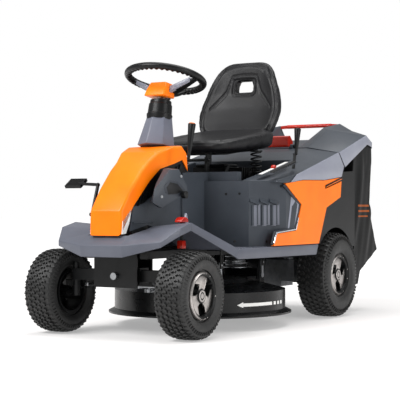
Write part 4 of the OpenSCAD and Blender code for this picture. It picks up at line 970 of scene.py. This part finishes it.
def makeBag():
    bm = outlineSolid(bagEdge, "x", -bagCut["half"], bagCut["half"])
    tops = [f for f in bm.faces if f.normal.z > 0.3 and f.calc_center_median().z > 0.69
            and abs(f.normal.x) < 0.5]
    bmesh.ops.delete(bm, geom=tops, context="FACES")
    low, high = Vector((-0.33, at(0, 1320, 0).y, 0.11)), Vector((0.33, at(0, 1640, 0).y, 0.76))
    for axis in range(3):
        count = int((high[axis] - low[axis]) * 1000 / bagCut["step"])
        for i in range(1, count):
            spot = Vector((0, 0, 0))
            spot[axis] = low[axis] + (high[axis] - low[axis]) * i / count
            way = Vector((0, 0, 0))
            way[axis] = 1
            bmesh.ops.bisect_plane(bm, geom=bm.verts[:] + bm.edges[:] + bm.faces[:], plane_co=spot,
                                   plane_no=way, dist=0.00002)
    for z in [edge for stripe in bagCut["stripes"] for edge in stripe]:
        bmesh.ops.bisect_plane(bm, geom=bm.verts[:] + bm.edges[:] + bm.faces[:], plane_co=at(0, 0, z),
                               plane_no=(0, 0, 1), dist=0.00002)
    bmesh.ops.delete(bm, geom=[f for f in bm.faces if f.normal.y < -0.8
                               and f.calc_center_median().y < at(0, 1352, 0).y
                               and -0.108 < f.calc_center_median().x < 0.066
                               and 0.42 < f.calc_center_median().z < 0.6], context="FACES")
    bmesh.ops.recalc_face_normals(bm, faces=bm.faces)
    bm.normal_update()
    if sum(f.normal.x * f.calc_center_median().x for f in bm.faces) < 0:
        bmesh.ops.reverse_faces(bm, faces=bm.faces)
    for v in bm.verts:
        x, y, z = v.co.x * 1000, (v.co.y - frontAxle) * 1000, v.co.z * 1000
        side = abs(v.normal.x)
        back = max(0, v.normal.y)
        hang = max(0, min(1, (740 - z) / 60)) * max(0, min(1, (z - 180) / 90))
        fold = math.sin((y + 0.16 * (740 - z)) / 21 + 1.3 * math.sin(z / 120)) * (0.4 + 0.6 * (z - 180) / 560)
        fold += 0.5 * math.sin((y - 0.25 * z) / 11 + 2)
        wave = math.sin(x / 24 + 1.1 * math.sin(z / 90)) + 0.5 * math.sin(x / 11 + z / 60)
        across, up = max(0, min(1, (y - 1350) / 230)), max(0, min(1, (z - 180) / 560))
        belly = math.sin(across * math.pi) * math.sin(up * math.pi)
        if side > 0.5:
            v.co.x += math.copysign((fold * 4.2 * hang - 8 * belly) / 1000, v.co.x)
        elif back > 0.4:
            v.co.y += (wave * 3.2 * hang - 5 * math.sin(min(1, abs(x) / 319) * math.pi)) / 1000
    bmesh.ops.smooth_vert(bm, verts=[v for v in bm.verts if not v.is_boundary], factor=0.35,
                          use_axis_x=True, use_axis_y=True, use_axis_z=True)
    for f in bm.faces:
        c = f.calc_center_median()
        y, z = (c.y - frontAxle) * 1000, c.z * 1000
        slant = 1450 + (z - 440) * 0.1
        printed = any(a < z < b for a, b in bagCut["stripes"])
        f.material_index = int(abs(f.normal.x) > 0.8 and printed and slant - 62 < y < slant + 50)
    area = sum(f.calc_area() for f in bm.faces)
    bmesh.ops.solidify(bm, geom=bm.faces[:], thickness=bagCut["wall"] / 1000)
    piece = addPiece("collector_bag", bm, finishes["bag_cloth"], "collector", ["grass_bag"], 50)
    piece.data.materials.append(decalOrange)
    print("bag cloth area", round(area, 3))


makeBag()
print("bag made")

slantWay = (0.968, -0.249, 0)
louvreTurn = math.radians(-14.4)
# places in millimetres and the way each head looks
sideDetail = {"screws": [(271, 355, 343, slantWay), (315, 529, 339, slantWay), (336, 610, 556, slantWay),
                         (199, 413, 525, (0.18, -0.98, 0)), (253, 423, 526, (0.18, -0.98, 0))]}


def makeSideDetails():  # louvres, bevelled post, dark grey edge band (partly painted gap shadow), trim, slot and screws on the engine cover
    pale, dark, screws = bmesh.new(), bmesh.new(), bmesh.new()
    for i in range(3):
        turn = Matrix.Translation(at(292 + 14 * i, 446 + 54 * i, 402)) @ Matrix.Rotation(louvreTurn, 4, "Z")
        for y0, y1, z0, z1 in ((0, 24, -2, 80), (28, 44, 2, 84)):
            slat = bmesh.new()
            bmesh.ops.create_cube(slat, size=1)
            bmesh.ops.scale(slat, verts=slat.verts, vec=(0.008, (y1 - y0) / 1000, (z1 - z0) / 1000))
            bmesh.ops.translate(slat, verts=slat.verts, vec=(0.004, (y0 + y1) / 2000, (z0 + z1) / 2000))
            for v in slat.verts:
                v.co.x *= 1.0 if v.co.y > (y0 + y1) / 2000 else 0.35
            roundEdges(slat, 1.2, 2)
            bmesh.ops.transform(slat, matrix=turn, verts=slat.verts)
            join(pale, slat)
        hood = bmesh.new()
        bmesh.ops.create_cube(hood, size=1)
        bmesh.ops.scale(hood, verts=hood.verts, vec=(0.010, 0.050, 0.016))
        bmesh.ops.translate(hood, verts=hood.verts, vec=(0.005, 0.014, 0.094))
        for v in hood.verts:
            v.co.z -= 0.25 * (v.co.y - 0.014)
            v.co.x *= 1.0 if v.co.z < 0.094 else 0.2
        roundEdges(hood, 1, 2)
        bmesh.ops.transform(hood, matrix=turn, verts=hood.verts)
        join(dark, hood)
    facet = panel({"a": (345, 687, 531), "b": (351, 741, 491), "c": (351, 714, 384), "d": (345, 651, 377),
                   "e": (343, 741, 491), "f": (343, 714, 384), "g": (343, 687, 531), "h": (343, 651, 377)},
                  ["a b c d", "a g e b", "b e f c", "c f h d", "d h g a", "g h f e"])
    roundEdges(facet, 1.2, 2)
    addPiece("bevel_post", bothSides(facet), paleGrey, "chassis")
    addPiece("louvre_slats", bothSides(pale), satinGrey, "chassis")
    addPiece("louvre_hoods", bothSides(dark), finishes["body_grey"], "chassis")
    # this dark grey band along the orange panel's front and lower edge is partly the real dark grey border and
    # partly painted shadow for the gap beside the trim
    borderAndGapShadow = [(516, 325), (541, 372), (711, 382), (760, 486), (620, 566), (606, 560), (744, 482),
              (700, 392), (532, 380), (508, 330)]
    bm = flatPlate(borderAndGapShadow, "x", 343.5, 351, 1)
    addPiece("panel_border_and_gap_shadow", bothSides(bm), deepGrey, "chassis")
    trim = [(520, 330), (543, 372), (711, 382), (734, 430), (730, 432), (708, 387), (540, 377), (516, 334)]
    bm = flatPlate(trim, "x", 350, 356, 0.8)
    addPiece("panel_trim", bothSides(bm), trimFoil, "chassis")
    bm = flatPlate([(984, 566), (1150, 604), (1152, 594), (984, 556)], "x", 351, 356.6, 0.6)
    addPiece("panel_slot", bothSides(bm), screwBlack, "chassis")
    bm = flatPlate([(990, 560.5), (1146, 597), (1146, 594.5), (990, 558)], "x", 356, 357.4, 0.3)
    addPiece("slot_strip", bothSides(bm), finishes["orange"], "chassis")
    for x, y, z, way in sideDetail["screws"]:
        join(screws, screwHead(at(x, y, z), way, 5.5, 1.2))
    addPiece("side_screws", bothSides(screws), screwBlack, "chassis")
    corner = flatPlate([(548, 572), (664, 569), (716, 603), (710, 604), (556, 579)], "x", 343.5, 350)
    addPiece("fender_corner", bothSides(corner), finishes["body_grey"], "chassis")


makeSideDetails()

lever = {"gripLow": 7.5, "gripHigh": 15}


def makeLever(name, node, foot, top, body, thick):
    foot, top = at(*foot), at(*top)
    along = top - foot
    bm = copyNode(node)
    bmesh.ops.delete(bm, context="VERTS", geom=[
        v for v in bm.verts if (v.co - foot).dot(along.normalized()) > along.length * 0.5])
    bmesh.ops.holes_fill(bm, edges=[e for e in bm.edges if e.is_boundary], sides=0)
    join(bm, rod(foot + along * 0.45, foot + along * 0.62, 6, 7, 20))
    grip = rod(foot + along * 0.58, top, lever["gripLow"], lever["gripHigh"] * thick, 24, 2.5)
    bmesh.ops.bisect_plane(grip, geom=grip.verts[:] + grip.edges[:] + grip.faces[:],
                           plane_co=foot + along * 0.8, plane_no=along.normalized())
    join(bm, grip)
    addPiece(name, bm, finishes["black_plastic"], body, [node], 40)
    cap = rod(top - along.normalized() * 0.003, top + along.normalized() * 0.003,
              lever["gripHigh"] * thick * 0.9, lever["gripHigh"] * thick * 0.7, 24, 1)
    return cap


cap = makeLever("cutter_lever", "pto_lever", (187, 131, 537), (190, 174, 785), "blade_lever", 1.0)
addPiece("cutter_lever_cap", cap, finishes["orange"], "blade_lever")
cap = makeLever("lift_lever_arm", "height_lever", (300, 803, 600), (300, 832, 798), "lift_lever", 0.95)
addPiece("lift_lever_cap", cap, finishes["black_plastic"], "lift_lever")


def makeScale():  # height scale with its red slider, and the notched rack
    bm = outlineSolid([(537, 602), (762, 656), (762, 659), (537, 605)], "x", 276, 290)
    roundEdges(bm, 0.6, 2)
    addPiece("height_scale", bm, decalWhite, "chassis")
    bm = outlineSolid([(530, 600), (770, 657), (770, 658), (530, 601.5)], "x", 268, 289)
    join(bm, outlineSolid([(530, 600), (770, 657), (770, 658), (530, 601.5)], "x", 313, 336))
    addPiece("scale_bed", bm, deepGrey, "chassis")
    bm = outlineSolid([(640, 627), (660, 632), (660, 640), (648, 643), (640, 636)], "x", 275, 291)
    roundEdges(bm, 1, 2)
    addPiece("scale_slider", bm, finishes["red_plastic"], "chassis")
    bm = bmesh.new()
    for i in range(10):
        y = 560 + i * 20
        z = 608 + i * 4.8
        join(bm, outlineSolid([(y, z), (y + 12, z + 3), (y + 12, z + 10), (y + 4, z + 8)], "x", 314, 332))
    addPiece("height_rack", bm, screwBlack, "chassis")


makeScale()


def makeKnob():  # parking lock
    bm = rod(at(200, 84, 352), at(200, 84, 424), 5, sides=16)
    addPiece("lock_rod", bm, screwBlack, "park_lock", ["parking_knob"])
    bm = outlineSolid([(60, 418), (108, 418), (106, 430), (92, 438), (76, 436), (62, 426)], "x", 184, 216)
    roundEdges(bm, 3, 3)
    join(bm, flatPlate([(70, 322), (98, 322), (96, 352), (72, 352)], "x", 188, 212, 3))
    addPiece("lock_knob", bm, finishes["red_plastic"], "park_lock")
    bm = outlineSolid([(96, 408), (128, 404), (112, 452)], "x", 196, 206)
    roundEdges(bm, 1.2, 2)
    addPiece("knob_guide", bm, paleGrey, "chassis")


makeKnob()


def makeEngineTop():  # air cleaner, fins, pipes and brackets that show under the seat
    bm = block((-70, 604, 582), (86, 730, 640), 6)
    join(bm, block((-62, 612, 640), (78, 722, 650), 4))
    for i in range(9):
        join(bm, block((100, 600 + i * 15, 586), (168, 605 + i * 15, 634), 1, 1))
    join(bm, rod(at(96, 668, 600), at(172, 668, 600), 20, width=2))
    for side in (-1, 1):
        join(bm, flatPlate([(480, 576), (520, 576), (560, 640), (540, 640), (500, 600)], "x",
                           min(side * 128, side * 134), max(side * 128, side * 134)))
        join(bm, rod(at(side * 131, 552, 636), at(side * 90, 600, 632), 4, sides=12))
    join(bm, rod(at(-76, 640, 620), at(-150, 700, 596), 7, sides=16))
    join(bm, rod(at(-150, 700, 596), at(-190, 800, 588), 7, sides=16))
    addPiece("engine_top", bm, finishes["black_plastic"], "chassis")


makeEngineTop()

arrow = {"radius": 347.4, "middleY": 547, "from": -35, "to": 10}


def makeArrow():  # cut flat and bent round the deck
    length = math.radians(arrow["to"] - arrow["from"]) * arrow["radius"]
    shapes = [[(0, 12), (22, 0), (22, 5), (150, 5), (150, 19), (22, 19), (22, 24)]]
    shapes += [[(s, 5), (s + 14, 5), (s + 14, 19), (s, 19)] for s in (160, 184, 208)]
    bm = bmesh.new()
    for points in shapes:
        scaled = [(s * length / 226, z) for s, z in points]
        join(bm, outlineSolid(scaled, "x", 0, 0.8))
    for i in range(1, 60):
        bmesh.ops.bisect_plane(bm, geom=bm.verts[:] + bm.edges[:] + bm.faces[:],
                               plane_co=at(0, length * i / 60, 0), plane_no=(0, 1, 0), dist=0.00001)
    for v in bm.verts:
        turn = math.radians(arrow["from"]) + ((v.co.y - frontAxle) * 1000) / arrow["radius"]
        r = arrow["radius"] / 1000 + v.co.x
        y = frontAxle + arrow["middleY"] / 1000 + math.sin(turn) * r
        v.co = Vector((math.cos(turn) * r, y, v.co.z * 0.9 + 0.089))
    addPiece("deck_arrow", bm, decalWhite, "deck")


makeArrow()
print("small parts made")

floorMaterial, tree, place = newMaterial("studioPaper")
reach = addNode(tree, "ShaderNodeVectorMath", {"operation": "LENGTH"}, {0: place}).outputs["Value"]
glow = addNode(tree, "ShaderNodeMapRange", {"From Min": 1.4, "From Max": 3.2, "To Min": 0.36, "To Max": 0.85},
               {"Value": reach}).outputs[0]
finishMaterial(tree, {"Roughness": 0.9, "Specular IOR Level": 0.1, "Base Color": colour("#C4C2C1"),
                      "Emission Color": colour("#FFFFFF")}, {"Emission Strength": glow})
bm = bmesh.new()
bmesh.ops.create_grid(bm, x_segments=1, y_segments=1, size=30)
mesh = bpy.data.meshes.new("studio_floor")
bm.to_mesh(mesh)
bm.free()
mesh.materials.append(floorMaterial)
floor = bpy.data.objects.new("studio_floor", mesh)
bpy.context.collection.objects.link(floor)


def softBox(name, place, aim, size, power):
    light = bpy.data.lights.new(name, "AREA")
    light.shape = "RECTANGLE"
    light.size, light.size_y = size
    light.energy = power
    lamp = bpy.data.objects.new(name, light)
    lamp.location = place
    lamp.rotation_euler = (Vector(aim) - Vector(place)).to_track_quat("-Z", "Y").to_euler()
    bpy.context.collection.objects.link(lamp)


world = bpy.data.worlds.new("studio")
world.use_nodes = True
tree = world.node_tree
tree.nodes.clear()
ray = addNode(tree, "ShaderNodeLightPath").outputs["Is Camera Ray"]
bright = ranged(tree, ray, 0.42, 1.0)  # white behind the object, softer as a lamp
back = addNode(tree, "ShaderNodeBackground", {"Color": (1, 1, 1, 1)}, {"Strength": bright})
addNode(tree, "ShaderNodeOutputWorld", links={"Surface": back.outputs[0]})
bpy.context.scene.world = world
softBox("front_key", (-1.2, -3.4, 3.2), (0, -0.1, 0.4), (2.4, 1.6), 170)
softBox("top_fill", (0.4, 0.4, 4.2), (0, 0, 0.3), (3.5, 3.5), 160)
softBox("side_strip", (4.2, -0.6, 1.6), (0.2, 0.1, 0.5), (0.9, 2.6), 60)

# lens and sensor in millimetres, place in metres, tilt and turn in degrees
view = {"lens": 111.8, "sensor": 36, "place": (2.6050, -4.50475, 0.4754), "tilt": 90.31, "turn": 31.07}
camera = bpy.data.cameras.new("camera")
camera.lens = view["lens"]
camera.sensor_width = view["sensor"]
camera.clip_end = 100
eye = bpy.data.objects.new("camera", camera)
eye.location = view["place"]
eye.rotation_euler = (math.radians(view["tilt"]), 0, math.radians(view["turn"]))
bpy.context.collection.objects.link(eye)
bpy.context.scene.camera = eye
bpy.context.scene.view_settings.view_transform = "Standard"

print("scene ready")
